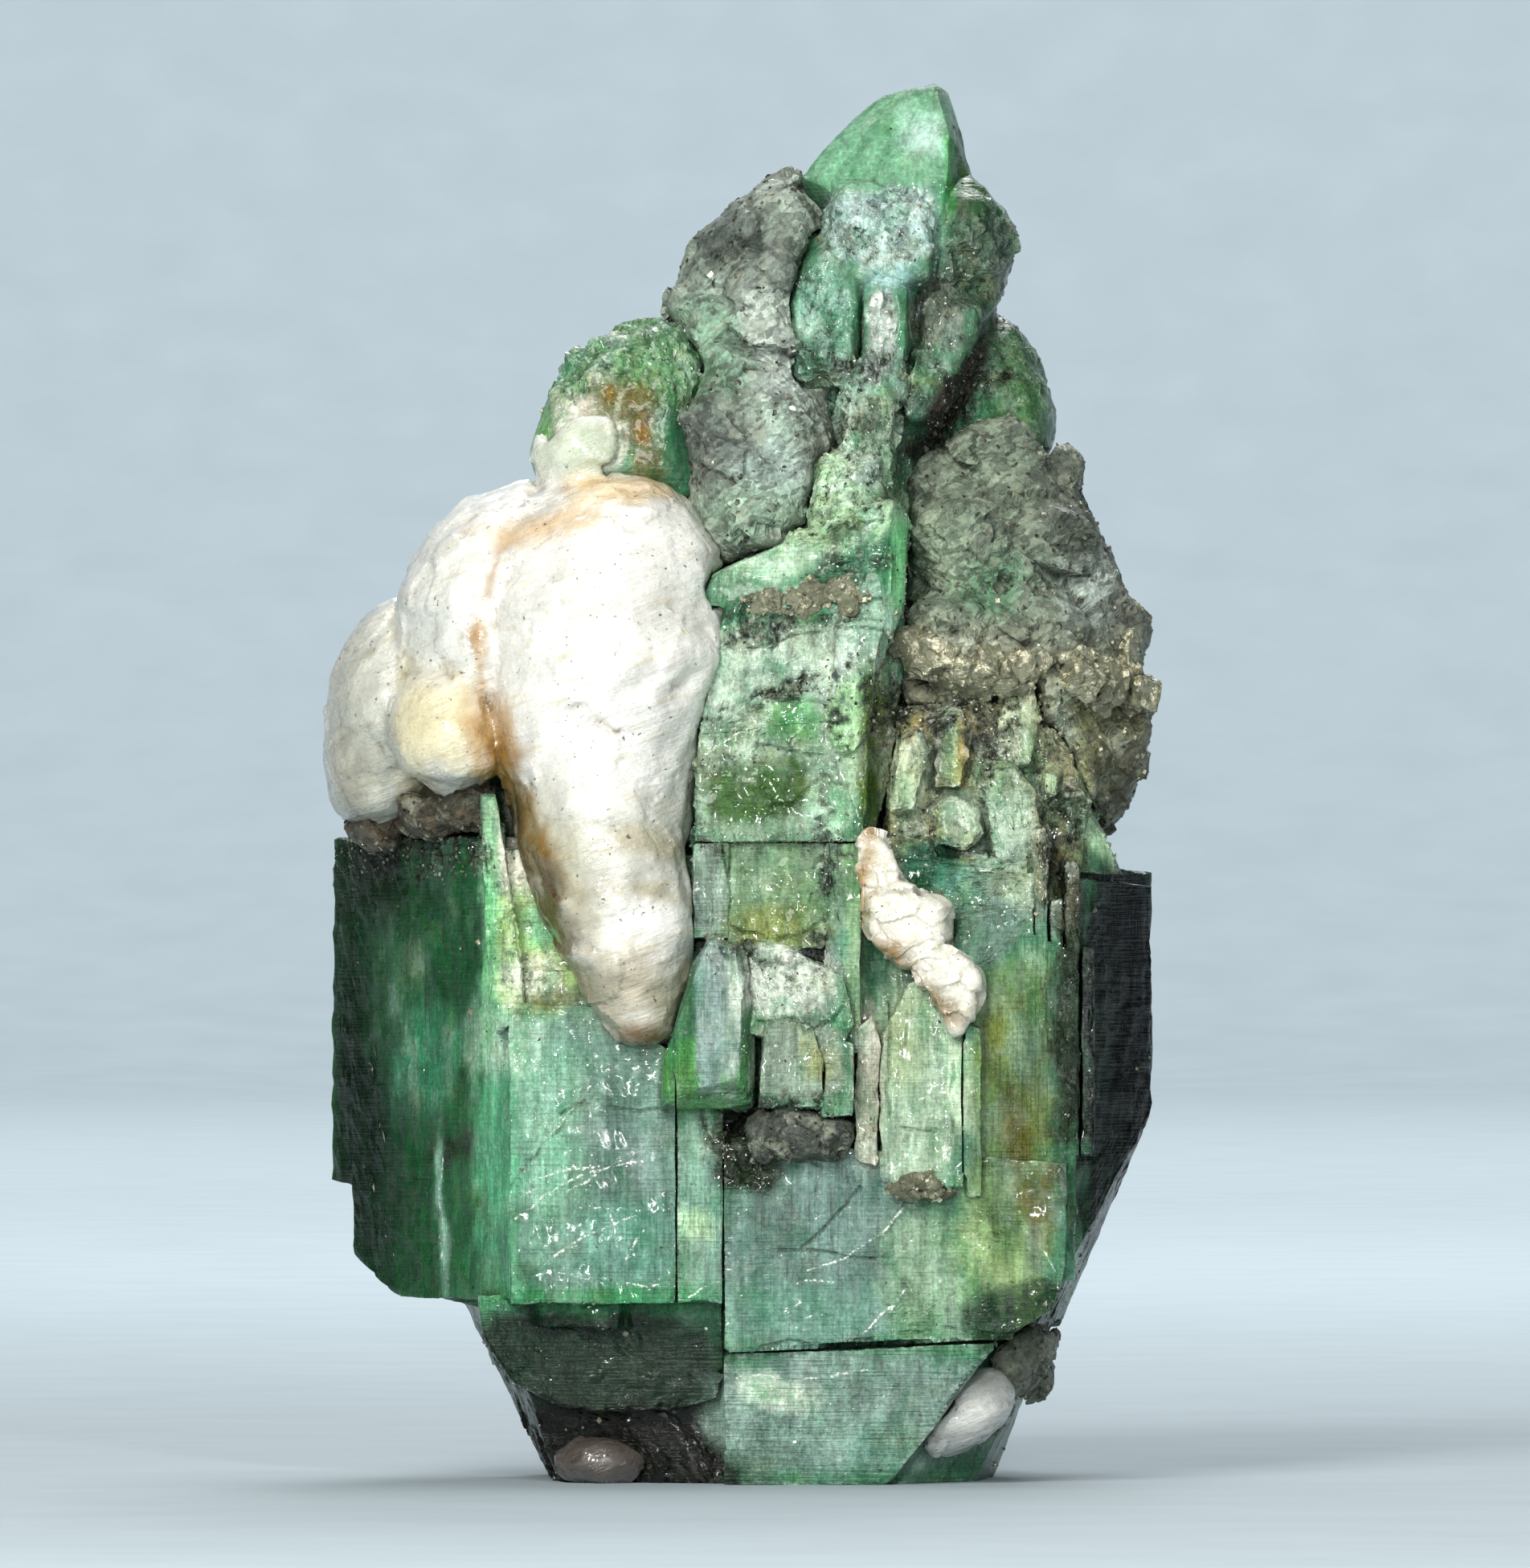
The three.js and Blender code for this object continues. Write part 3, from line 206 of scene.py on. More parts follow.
# %% [markdown]
# A finished piece is a mesh with smooth shading and sharp creases. It rides on the stone's one body, stands for its
# CAD node, and carries its colours, its wear and its painted shade and glints as numbers on its points, for the
# material to read.

# %% Turn arrays into a piece
BODY = "root"


def make_piece(name, corners, triangles, material, slot, nodes=(), crease=32, tint=None, **wear):
    """A mesh piece in the frame. tint is a colour, and each entry of wear a number for each point, for wear, dirt with
    painted shade, and painted glints.
    """
    mesh = bpy.data.meshes.new(name)
    mesh.from_pydata((corners * MM).tolist(), [], triangles.tolist())
    mesh.polygons.foreach_set("use_smooth", np.ones(len(mesh.polygons), dtype=bool))
    mesh.set_sharp_from_angle(angle=math.radians(crease))
    if tint is not None:
        paint = mesh.attributes.new("tint", "FLOAT_COLOR", "POINT")
        paint.data.foreach_set("color", np.column_stack([tint, np.ones(len(tint))]).ravel())
    for key, values in wear.items():
        mesh.attributes.new(key, "FLOAT", "POINT").data.foreach_set("value", values)
    mesh.materials.append(material)
    piece = bpy.data.objects.new(name, mesh)
    bpy.context.collection.objects.link(piece)
    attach(piece, BODY)
    if nodes:
        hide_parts(*nodes)
    print(f"{name}: {len(triangles)} triangles")


print("every piece rides on the body", BODY)

# %% [markdown]
# A material is a tree of nodes. One helper adds a node with its settings and its inputs, so that the trees below
# read from top to bottom. Patterns are worked out in millimetres: the object's own coordinates are in metres, so
# they are multiplied by 1000 first. A number that the mesh carries on its points comes in by an Attribute node.
# Inputs are named by their number where that is shorter: 0 to 4 of a Map Range node are its value, the range it
# comes from and the range it goes to, and 0, 6 and 7 of a Mix node are its share and its two colours.

# %% A helper for material nodes
def add(tree, kind, inputs=None, **settings):
    """Adds a node. An input is given a value, a socket to link, or a node whose first output is linked."""
    node = tree.nodes.new("ShaderNode" + kind)
    for key, value in settings.items():
        setattr(node, key, value)
    for key, value in (inputs or {}).items():
        if isinstance(value, bpy.types.Node):
            value = value.outputs[0]
        if isinstance(value, bpy.types.NodeSocket):
            tree.links.new(value, node.inputs[key])
        else:
            node.inputs[key].default_value = value
    return node


def start_material(name, shine):
    """A new material with its Principled shader set from shine, its tree, and places in mm."""
    material = bpy.data.materials.new(name)
    material.use_nodes = True
    tree = material.node_tree
    shader = tree.nodes["Principled BSDF"]
    for key, value in shine.items():
        shader.inputs[key].default_value = value
    place = add(tree, "VectorMath", {0: add(tree, "TexCoord").outputs["Object"], "Scale": 1000.0},
                operation="SCALE")
    return material, tree, shader, place


print("a material's colours as the nodes take them:", [round(v, 3) for v in (*linear("#dfeee0"), 1)])

# %% [markdown]
# **Emerald** is beryl coloured by chromium. Its refractive index is about 1.58. This one is a natural, heavily
# included crystal: light goes in, scatters on fine cracks and comes out green, so it glows softly and isn't clear.
# Most of it comes back from just under the surface, a share spreads deeper, and some passes straight through. The
# prism faces carry fine growth lines along the crystal, here about 0.03 mm apart, and a broken face is glossy where
# it is fresh and frosty where it is scuffed.

# %% Emerald material
def emerald_material():
    """Natural, included beryl: mottled green, growth lines, frosty scuffs, dark dirt and painted shade in hollows, and
    painted glints on bright cracks.
    """
    material, tree, shader, place = start_material("emerald, natural included beryl", {
        "IOR": 1.58, "Subsurface Weight": 0.12, "Subsurface Scale": 0.0003,
        "Subsurface Radius": (0.4, 1.0, 0.6), "Transmission Weight": 0.15,
        "Specular IOR Level": 0.12, "Coat Weight": 0.18, "Coat Roughness": 0.08, "Coat IOR": 1.58})
    tint = add(tree, "Attribute", attribute_name="tint")
    grime, frost, rough, striped, film = (add(tree, "Attribute", attribute_name=wear).outputs["Fac"]
                                          for wear in ("grime", "frost", "broken", "striped", "film"))
    upright = add(tree, "VectorMath", {0: place, 1: (34.0, 34.0, 1.2)}, operation="MULTIPLY")
    growth = add(tree, "TexNoise", {"Vector": upright, "Scale": 1.0, "Detail": 2.0, "Roughness": 0.6})
    level = add(tree, "VectorMath", {0: place, 1: (1.2, 1.2, 30.0)}, operation="MULTIPLY")
    across = add(tree, "TexNoise", {"Vector": level, "Scale": 1.0, "Detail": 2.0, "Roughness": 0.6})
    long_spots = add(tree, "VectorMath", {0: place, 1: (2.4, 2.4, 1.4)}, operation="MULTIPLY")
    mottle = add(tree, "TexNoise", {"Vector": long_spots, "Scale": 1.0, "Detail": 7.0, "Roughness": 0.72})
    where = add(tree, "TexNoise", {"Vector": place, "Scale": 1.1, "Detail": 2.0})
    grain = add(tree, "TexNoise", {"Vector": place, "Scale": 19.0, "Detail": 4.0, "Roughness": 0.7})
    crumbs = add(tree, "TexNoise", {"Vector": place, "Scale": 9.0, "Detail": 3.0, "Roughness": 0.75})
    # the growth lines fade in and out along the face
    lined = add(tree, "MapRange", {0: where, 1: 0.4, 2: 0.6, 3: 0.35, 4: 1.0})
    up = add(tree, "MapRange", {0: growth, 1: 0.32, 2: 0.62, 3: -0.26, 4: 0.12})
    side = add(tree, "MapRange", {0: across, 1: 0.36, 2: 0.6, 3: -0.1, 4: 0.04})
    lines = add(tree, "Math", {0: up, 1: side}, operation="ADD")
    lined = add(tree, "Math", {0: lined, 1: striped}, operation="MULTIPLY")
    lines = add(tree, "Math", {0: lines, 1: lined, 2: 1.0}, operation="MULTIPLY_ADD")
    speckle = add(tree, "MapRange", {0: grain, 1: 0.32, 2: 0.68, 3: 0.66, 4: 1.3})
    shade = add(tree, "Math", {0: lines, 1: speckle}, operation="MULTIPLY")
    # wider streaks along the crystal, deeper and paler
    streaked = add(tree, "VectorMath", {0: place, 1: (6.5, 6.5, 1.3)}, operation="MULTIPLY")
    streaks = add(tree, "TexNoise", {"Vector": streaked, "Scale": 1.0, "Detail": 4.0, "Roughness": 0.7})
    streaks = add(tree, "MapRange", {0: streaks, 1: 0.36, 2: 0.64, 3: 0.64, 4: 1.3})
    shade = add(tree, "Math", {0: shade, 1: streaks}, operation="MULTIPLY")
    colour = add(tree, "VectorMath", {0: tint, "Scale": shade}, operation="SCALE")
    # clouds of deeper green, and of pale, milky inclusions
    deep = add(tree, "MapRange", {0: mottle, 1: 0.51, 2: 0.66, 3: 0.0, 4: 0.8})
    darker = add(tree, "VectorMath", {0: tint, 1: (0.22, 0.52, 0.36)}, operation="MULTIPLY")
    colour = add(tree, "Mix", {0: deep, 6: colour, 7: darker}, data_type="RGBA").outputs[2]
    milky = add(tree, "MapRange", {0: mottle, 1: 0.45, 2: 0.34, 3: 0.0, 4: 0.4})
    paler = add(tree, "VectorMath", {0: tint, 1: (1.7, 1.45, 1.6)}, operation="MULTIPLY")
    colour = add(tree, "Mix", {0: milky, 6: colour, 7: paler}, data_type="RGBA").outputs[2]
    # a broken surface is peppered: dark crumbs of mica, and pale, crushed beryl
    dark_crumb = add(tree, "MapRange", {0: crumbs, 1: 0.56, 2: 0.66, 3: 0.0, 4: 1.5})
    dark_crumb = add(tree, "Math", {0: dark_crumb, 1: rough}, operation="MULTIPLY", use_clamp=True)
    colour = add(tree, "Mix", {0: dark_crumb, 6: colour, 7: (*linear("#2a2c20"), 1)}, data_type="RGBA").outputs[2]
    pale_crumb = add(tree, "MapRange", {0: crumbs, 1: 0.44, 2: 0.36, 3: 0.0, 4: 1.2})
    pale_crumb = add(tree, "Math", {0: pale_crumb, 1: rough}, operation="MULTIPLY", use_clamp=True)
    colour = add(tree, "Mix", {0: pale_crumb, 6: colour, 7: paler}, data_type="RGBA").outputs[2]
    scuffed = add(tree, "MapRange", {0: grain, 1: 0.42, 2: 0.6, 3: 0.0, 4: 1.0})
    scuffed = add(tree, "Math", {0: scuffed, 1: frost}, operation="MULTIPLY")
    colour = add(tree, "Mix", {0: scuffed, 6: colour, 7: (*linear("#e4f0e2"), 1)}, data_type="RGBA").outputs[2]
    # dark dirt, and painted shade in the hollows
    dirt_and_shade_mix = add(tree, "MapRange", {0: crumbs, 1: 0.35, 2: 0.6, 3: 0.3, 4: 1.0})
    dirt_and_shade_mix = add(tree, "Math", {0: dirt_and_shade_mix, 1: grime}, operation="MULTIPLY")
    colour = add(tree, "Mix", {0: dirt_and_shade_mix, 6: colour, 7: (*linear("#1f221a"), 1)}, data_type="RGBA").outputs[2]
    # a painted reflection: a hair-thin, near-white thread that comes and goes along a bright crack, where its air film
    # mirrors the light; film = mm to its middle
    thread = add(tree, "Math", {0: grain, 1: 0.09, 2: film}, operation="MULTIPLY_ADD")
    thread = add(tree, "MapRange", {0: thread, 1: 0.058, 2: 0.048, 3: 0.0, 4: 1.0})
    colour = add(tree, "Mix", {0: thread, 6: colour, 7: (*linear("#f6fbf0"), 1)}, data_type="RGBA").outputs[2]
    tree.links.new(colour, shader.inputs["Base Color"])
    gloss = add(tree, "MapRange", {0: grain, 1: 0.35, 2: 0.7, 3: 0.08, 4: 0.32})
    gloss = add(tree, "Math", {0: grime, 1: 0.3, 2: gloss}, operation="MULTIPLY_ADD")
    tree.links.new(gloss.outputs[0], shader.inputs["Roughness"])
    relief = add(tree, "Math", {0: lines, 1: 1.2, 2: across}, operation="MULTIPLY_ADD")
    deeper = add(tree, "Math", {0: rough, 1: 4.0, 2: 0.4}, operation="MULTIPLY_ADD")
    deeper = add(tree, "Math", {0: crumbs, 1: deeper}, operation="MULTIPLY")
    relief = add(tree, "Math", {0: relief, 1: deeper}, operation="ADD")
    relief = add(tree, "Math", {0: grain, 1: 0.5, 2: relief}, operation="MULTIPLY_ADD")
    bump = add(tree, "Bump", {"Height": relief, "Strength": 0.9, "Distance": 0.000025})
    tree.links.new(bump.outputs[0], shader.inputs["Normal"])
    return material


EMERALD = emerald_material()
print("made", EMERALD.name)

# %% [markdown]
# **Where the emerald is which green.** A bundle of prisms is painted in patches, because each prism let in its own
# amount of chromium, and each broken place shows more or less depth. Each line below is one patch, seen from the
# front: its colour, its middle in x and z, its half width and half height, its turn in degrees, how soft its
# border is, how strongly it covers what is under it, and how broken the surface is there, all in mm where it is a
# size. Later lines lie over earlier ones. A second, shorter table says where black mica dust is pressed in.

# %% The emerald's patches
EMERALD_BASE = "#4b8761"
EMERALD_BACK = "#245639"
emerald_patches = [
    # the crystal at the left edge: deep green, darkened to the left as painted shade where its faces turn from the
    # light
    ("#125326", -4.30, 5.20, 1.35, 3.40, 0, 0.25, 1.0, 0.1),
    ("#050f06", -4.80, 5.00, 0.50, 3.10, 0, 0.50, 0.9, 0.2),
    ("#458757", -4.25, 5.90, 0.30, 0.80, 8, 0.50, 0.6, 0.1),
    ("#1b6a31", -3.45, 4.00, 0.25, 1.30, 0, 0.30, 0.8, 0.0),
    ("#100a06", -4.60, 7.60, 0.60, 0.50, 0, 0.60, 0.7, 0.5),
    ("#41996e", -3.95, 5.30, 0.35, 0.55, -15, 0.30, 0.7, 0.1),
    ("#22220b", -3.50, 4.22, 0.35, 0.16, 25, 0.15, 0.8, 0.1),
    # a painted highlight along its ridge
    ("#9fd0b5", -3.77, 3.45, 0.03, 0.66, 1, 0.05, 0.9, 0.0),
    # the front face at the left
    ("#688a78", -1.88, 4.05, 1.03, 1.83, 0, 0.10, 1.0, 0.05),
    ("#8ac7a4", -2.45, 4.20, 0.40, 1.30, 4, 0.30, 0.8, 0.05),
    ("#759187", -1.35, 4.10, 0.45, 0.70, 0, 0.20, 0.8, 0.0),
    ("#75ab96", -1.45, 2.95, 0.60, 0.50, 0, 0.30, 0.8, 0.0),
    ("#69c290", -3.08, 4.20, 0.22, 1.90, 0, 0.20, 0.9, 0.0),
    ("#c3e1c6", -2.98, 5.50, 0.40, 0.38, 0, 0.35, 0.8, 0.2),
    ("#81ab94", -0.52, 3.45, 0.27, 1.20, 0, 0.06, 1.0, 0.0),
    ("#cff5c0", -0.58, 3.20, 0.20, 0.18, 0, 0.15, 0.9, 0.1),
    # the glassy pocket beside the quartz
    ("#b5df80", -2.50, 6.80, 0.60, 0.85, 0, 0.20, 1.0, 0.4),
    ("#f7f7df", -2.90, 8.00, 0.30, 0.60, 0, 0.20, 1.0, 0.3),
    ("#eef2d4", -2.60, 6.35, 0.38, 0.28, 30, 0.20, 0.9, 0.5),
    ("#80e59d", -2.50, 6.95, 0.20, 0.22, 0, 0.15, 0.9, 0.2),
    ("#685f16", -2.25, 6.05, 0.42, 0.14, 8, 0.12, 0.9, 0.1),
    ("#99e8a7", -3.15, 7.20, 0.10, 1.35, 0, 0.10, 0.9, 0.1),
    # the broken foot
    ("#1c3021", -1.90, 1.45, 1.75, 0.78, 0, 0.15, 1.0, 0.2),
    ("#14140f", -1.45, 0.35, 1.60, 0.62, 0, 0.20, 1.0, 0.4),
    ("#318d51", -1.80, 2.33, 1.45, 0.16, 0, 0.12, 0.9, 0.1),
    ("#83a092", 1.40, 0.90, 1.80, 0.74, 0, 0.12, 1.0, 0.1),
    ("#e0f0d9", 0.50, 1.15, 0.45, 0.20, -20, 0.10, 1.0, 0.1),
    ("#7da795", 1.40, 0.45, 0.70, 0.30, 0, 0.30, 0.8, 0.2),
    # the front face at the right
    ("#6f8d82", 1.00, 2.95, 1.25, 1.22, 0, 0.12, 1.0, 0.05),
    ("#75a892", 0.80, 2.15, 0.95, 0.35, 0, 0.25, 0.8, 0.0),
    ("#86a981", 2.25, 2.70, 0.50, 0.80, 0, 0.25, 0.9, 0.2),
    ("#98b77c", 3.20, 3.10, 0.52, 0.95, 0, 0.20, 1.0, 0.2),
    ("#133917", 3.45, 2.12, 0.68, 0.40, 12, 0.10, 1.0, 0.1),
    ("#aac4a5", 2.10, 5.10, 0.50, 1.40, 0, 0.10, 1.0, 0.05),
    ("#93a775", 1.98, 5.65, 0.25, 0.50, 0, 0.25, 0.8, 0.0),
    # a painted highlight along an edge
    ("#ddf5cd", 2.72, 5.00, 0.18, 0.60, 0, 0.08, 0.9, 0.0),
    ("#6a894f", 3.35, 4.60, 0.48, 2.10, 0, 0.15, 1.0, 0.1),
    ("#636826", 3.50, 4.75, 0.22, 0.50, 0, 0.30, 0.8, 0.1),
    ("#675a0e", 3.65, 3.70, 0.28, 0.32, 0, 0.30, 0.8, 0.1),
    ("#848f3b", 3.15, 5.60, 0.14, 0.35, -20, 0.20, 0.7, 0.1),
    ("#648167", 3.55, 5.35, 0.18, 0.42, 0, 0.20, 0.8, 0.0),
    ("#5b560e", 3.42, 4.30, 0.12, 0.45, 12, 0.15, 0.9, 0.1),
    ("#665909", 3.70, 3.55, 0.16, 0.30, 0, 0.20, 0.9, 0.1),
    # the right corner, and the faces behind it: near black, partly deep green and partly painted shade where they turn
    # from the light
    ("#211e0d", 4.05, 6.20, 0.20, 2.40, 0, 0.15, 0.9, 0.4),
    ("#060706", 4.80, 5.00, 0.60, 3.30, 0, 0.20, 1.0, 0.2),
    ("#060606", 4.85, 7.10, 0.35, 0.70, 0, 0.30, 0.9, 0.0),
    ("#062c12", 4.52, 4.60, 0.10, 1.60, 0, 0.20, 0.6, 0.0),
    # the blade, the small block, the pillar
    ("#539c52", -0.45, 5.10, 0.62, 0.50, 0, 0.05, 1.0, 0.1),
    ("#94aca5", -0.42, 5.85, 0.20, 1.05, 0, 0.05, 1.0, 0.0),
    ("#98ab9d", -0.12, 5.85, 0.10, 1.00, 0, 0.05, 1.0, 0.1),
    ("#c8d5c2", 0.50, 6.30, 0.65, 0.50, 0, 0.12, 1.0, 0.4),
    ("#92a790", 0.68, 5.30, 0.56, 0.50, 0, 0.08, 1.0, 0.2),
    ("#a6aa67", 0.95, 5.35, 0.18, 0.22, 0, 0.15, 0.8, 0.2),
    ("#192810", 0.05, 4.15, 0.42, 0.50, 0, 0.12, 1.0, 0.5),
    ("#bdbda6", 1.55, 5.00, 0.19, 0.98, 0, 0.06, 1.0, 0.2),
    # the column in the middle
    ("#7b9d73", 0.40, 7.40, 1.05, 0.66, 0, 0.08, 1.0, 0.2),
    ("#8ba08e", -0.45, 7.40, 0.18, 0.62, 0, 0.05, 1.0, 0.1),
    ("#8e9c52", 0.40, 6.98, 0.60, 0.26, 0, 0.15, 0.9, 0.2),
    ("#93af90", 0.40, 8.85, 1.10, 0.85, 0, 0.12, 1.0, 0.22),
    ("#3b6125", 0.20, 8.65, 0.62, 0.42, 8, 0.10, 1.0, 0.2),
    ("#b9e7bc", 1.12, 8.45, 0.30, 0.40, 0, 0.15, 0.9, 0.3),
    ("#85aa78", 1.38, 7.00, 0.12, 1.10, 0, 0.06, 1.0, 0.0),
    ("#bbd3ba", 0.70, 10.10, 1.35, 0.62, 10, 0.15, 1.0, 0.2),
    ("#429d4c", 0.60, 9.48, 0.36, 0.28, 0, 0.15, 0.8, 0.2),
    ("#b7eaaa", 1.27, 9.55, 0.20, 0.50, 0, 0.06, 1.0, 0.1),
    ("#94bc9f", 1.62, 10.75, 0.33, 0.42, 0, 0.12, 1.0, 0.2),
    ("#b5d7b4", 0.95, 11.75, 1.35, 0.26, 22, 0.12, 1.0, 0.05),
    ("#8fe09a", 1.97, 11.60, 0.14, 0.60, 0, 0.10, 1.0, 0.0),
    ("#4c6b18", 1.65, 9.10, 0.20, 1.10, 0, 0.10, 1.0, 0.2),
    # the teeth in the hollow at the right
    ("#acb48b", 2.95, 8.60, 1.25, 1.40, 0, 0.20, 1.0, 0.6),
    ("#8d8560", 2.60, 9.40, 0.80, 0.35, 0, 0.20, 0.9, 0.7),
    ("#746f54", 3.95, 8.30, 0.35, 0.90, 0, 0.25, 0.9, 0.6),
    ("#c39b2a", 2.72, 9.10, 0.06, 0.45, 0, 0.12, 0.9, 0.2),
    ("#f7ce63", 1.90, 8.60, 0.05, 0.50, -12, 0.10, 0.8, 0.2),
    ("#b0c9ab", 3.25, 8.10, 0.38, 0.90, 0, 0.12, 1.0, 0.4),
    ("#d3e2b6", 2.05, 8.80, 0.25, 0.50, -10, 0.10, 1.0, 0.3),
    ("#2c6549", 2.30, 7.70, 0.40, 0.33, 0, 0.10, 1.0, 0.1),
    ("#b3c5ab", 2.67, 8.35, 0.21, 0.30, 0, 0.06, 1.0, 0.1),
    ("#5d7d6a", 3.00, 6.90, 0.40, 0.42, 0, 0.12, 1.0, 0.2),
    ("#a8cda2", 4.35, 8.15, 0.16, 0.42, 35, 0.10, 1.0, 0.2),
    ("#b4ce92", 2.62, 9.20, 0.10, 0.40, 0, 0.08, 0.9, 0.2),
    # a painted highlight on a tooth
    ("#cfdcb8", 3.40, 9.30, 0.20, 0.42, 0, 0.10, 1.0, 0.2),
    ("#c4d8b0", 3.06, 8.80, 0.14, 0.26, 0, 0.06, 1.0, 0.2),
    ("#bcd8a8", 3.82, 8.72, 0.12, 0.22, 0, 0.06, 1.0, 0.2),
    ("#144e29", 2.15, 7.35, 0.16, 0.28, 0, 0.06, 1.0, 0.0),
    ("#5e9c89", 2.75, 7.45, 0.30, 0.25, 10, 0.10, 0.9, 0.3),
    # the blocks under the point
    ("#b8e0b0", 0.95, 12.30, 0.95, 0.62, 0, 0.15, 1.0, 0.7),
    ("#97bca4", 1.10, 13.60, 0.55, 0.55, 0, 0.20, 1.0, 0.7),
    ("#abc1a6", 1.55, 13.10, 0.40, 0.60, -20, 0.15, 0.9, 0.7),
    ("#84b499", 1.00, 14.65, 0.40, 0.60, 0, 0.20, 1.0, 0.5),
    ("#d6e0d4", 1.72, 14.40, 0.20, 0.50, 0, 0.08, 1.0, 0.6),
    ("#6f9678", 2.25, 13.75, 0.35, 0.42, 0, 0.20, 1.0, 0.55),
    ("#737d6d", 2.45, 14.60, 0.40, 0.45, 0, 0.15, 1.0, 0.5),
    ("#ccf7f7", 1.75, 15.15, 0.28, 0.24, 0, 0.25, 0.8, 0.35),
    ("#b9d4cb", 1.70, 15.75, 0.75, 0.52, 0, 0.12, 1.0, 0.6),
    ("#4a5d4d", 2.95, 15.35, 0.45, 0.75, 0, 0.15, 1.0, 0.6),
    ("#544f42", 2.85, 15.95, 0.22, 0.20, 0, 0.15, 0.9, 0.2),
    ("#2a1e1a", 2.65, 13.70, 0.20, 1.30, -30, 0.20, 1.0, 0.4),
    ("#4b7449", 3.55, 13.80, 0.45, 0.95, 0, 0.20, 1.0, 0.4),
    # the point: a painted highlight on its face, and painted shade on its right side
    ("#75ae87", 1.75, 16.90, 0.98, 0.72, 0, 0.10, 1.0, 0.0),
    ("#c3e5d7", 2.25, 16.90, 0.28, 0.26, 0, 0.30, 0.8, 0.0),
    ("#41a940", 2.58, 16.55, 0.08, 0.70, 0, 0.10, 0.9, 0.0),
    ("#2a5320", 2.90, 16.40, 0.18, 0.70, 10, 0.12, 1.0, 0.2),
    # the shoulder above the quartz, with rust from weathered pyrite
    ("#6e9e6d", -1.40, 13.90, 1.05, 0.66, 0, 0.20, 1.0, 0.6),
    ("#e3e2cc", -1.90, 13.10, 0.52, 0.52, 0, 0.15, 1.0, 0.3),
    ("#7fb866", -2.60, 13.10, 0.20, 0.66, 15, 0.12, 1.0, 0.1),
    ("#7c5408", -1.68, 13.60, 0.26, 0.28, -20, 0.20, 0.95, 0.3),
    ("#80560e", -1.22, 13.10, 0.20, 0.55, 12, 0.20, 0.9, 0.3),
    ("#986222", -2.05, 12.75, 0.14, 0.14, 0, 0.12, 0.8, 0.3),
]
# black mica dust, pressed into cracks and steps: middle, half sizes, turn, strength
mica_dust = [
    (0.95, 11.22, 1.00, 0.13, 23, 0.55),
    (0.55, 10.72, 0.85, 0.15, 12, 0.60),
    (1.35, 11.45, 0.30, 0.20, 20, 0.50),
    (0.65, 9.92, 0.55, 0.07, 20, 0.90),
    (0.30, 9.15, 0.75, 0.06, 10, 0.60),
    (0.35, 8.03, 1.10, 0.07, 0, 0.55),
    (1.00, 7.55, 0.06, 0.50, 0, 0.70),
    (1.12, 9.55, 0.05, 0.30, 0, 0.80),
    (0.55, 4.55, 0.55, 0.30, 0, 0.85),
    (-0.10, 4.30, 0.30, 0.30, 0, 0.80),
    (0.10, 6.60, 0.40, 0.12, -30, 0.60),
    (2.30, 9.80, 0.90, 0.35, 10, 0.80),
    (3.10, 9.30, 0.30, 0.50, 0, 0.60),
    (4.00, 8.20, 0.30, 0.60, 0, 0.70),
    (-4.20, 7.90, 1.00, 0.35, 0, 0.70),
    (2.70, 13.30, 0.25, 1.00, -30, 0.70),
    (1.30, 13.20, 0.40, 0.12, 10, 0.60),
    (1.10, 14.00, 0.50, 0.14, -10, 0.60),
]
print(len(emerald_patches), "patches of green and", len(mica_dust), "of mica dust")

# %% [markdown]
# ** Cracks.** Beryl has no good cleavage, so a knock leaves it with curved cracks that run slanting across the
# prism. Some took in black mica dust and are dark. Others are clean inside, and an air film in them mirrors the
# light; that reflection is painted here as near-white threads, and two of these lines are painted highlights along
# edges. Each is a broken line of points in x and z on the front.

# %% The cracks on the front
dark_cracks = [
    [(-0.20, 1.68), (0.55, 1.80), (1.05, 1.70), (1.85, 1.88), (2.75, 1.93), (3.55, 1.88)],
    [(-2.25, 4.63), (-2.05, 4.76), (-1.60, 4.68), (-1.05, 4.66)],
    [(-2.93, 3.68), (-2.35, 4.38), (-2.00, 4.78)],
    [(-0.05, 2.70), (0.45, 2.96), (0.90, 2.93), (1.25, 2.86), (1.80, 2.83)],
    [(0.75, 2.96), (1.10, 3.30), (1.45, 3.72)],
    [(-0.55, 8.06), (-0.25, 8.05), (0.60, 8.02), (1.35, 7.98)],
    [(0.35, 8.48), (0.60, 8.47), (0.80, 8.68), (1.00, 8.82)],
    [(0.15, 9.23), (0.75, 9.10), (1.05, 9.03)],
    [(-0.20, 8.02), (-0.20, 7.40), (-0.20, 6.98), (0.35, 6.78), (0.75, 6.88), (1.00, 7.03), (1.02, 7.90)],
    [(0.05, 10.38), (0.60, 10.58), (1.20, 10.65), (1.75, 10.63)],
    [(0.25, 9.78), (0.50, 9.88), (0.80, 9.86)],
    [(1.05, 9.78), (1.10, 9.60), (1.12, 9.35)],
    [(0.15, 5.80), (0.65, 5.82), (0.75, 5.66), (1.10, 5.80), (1.25, 6.00)],
    [(1.80, 4.48), (2.40, 4.46)],
    [(1.80, 6.00), (1.82, 4.50)],
    [(2.62, 5.90), (2.60, 4.40)],
]
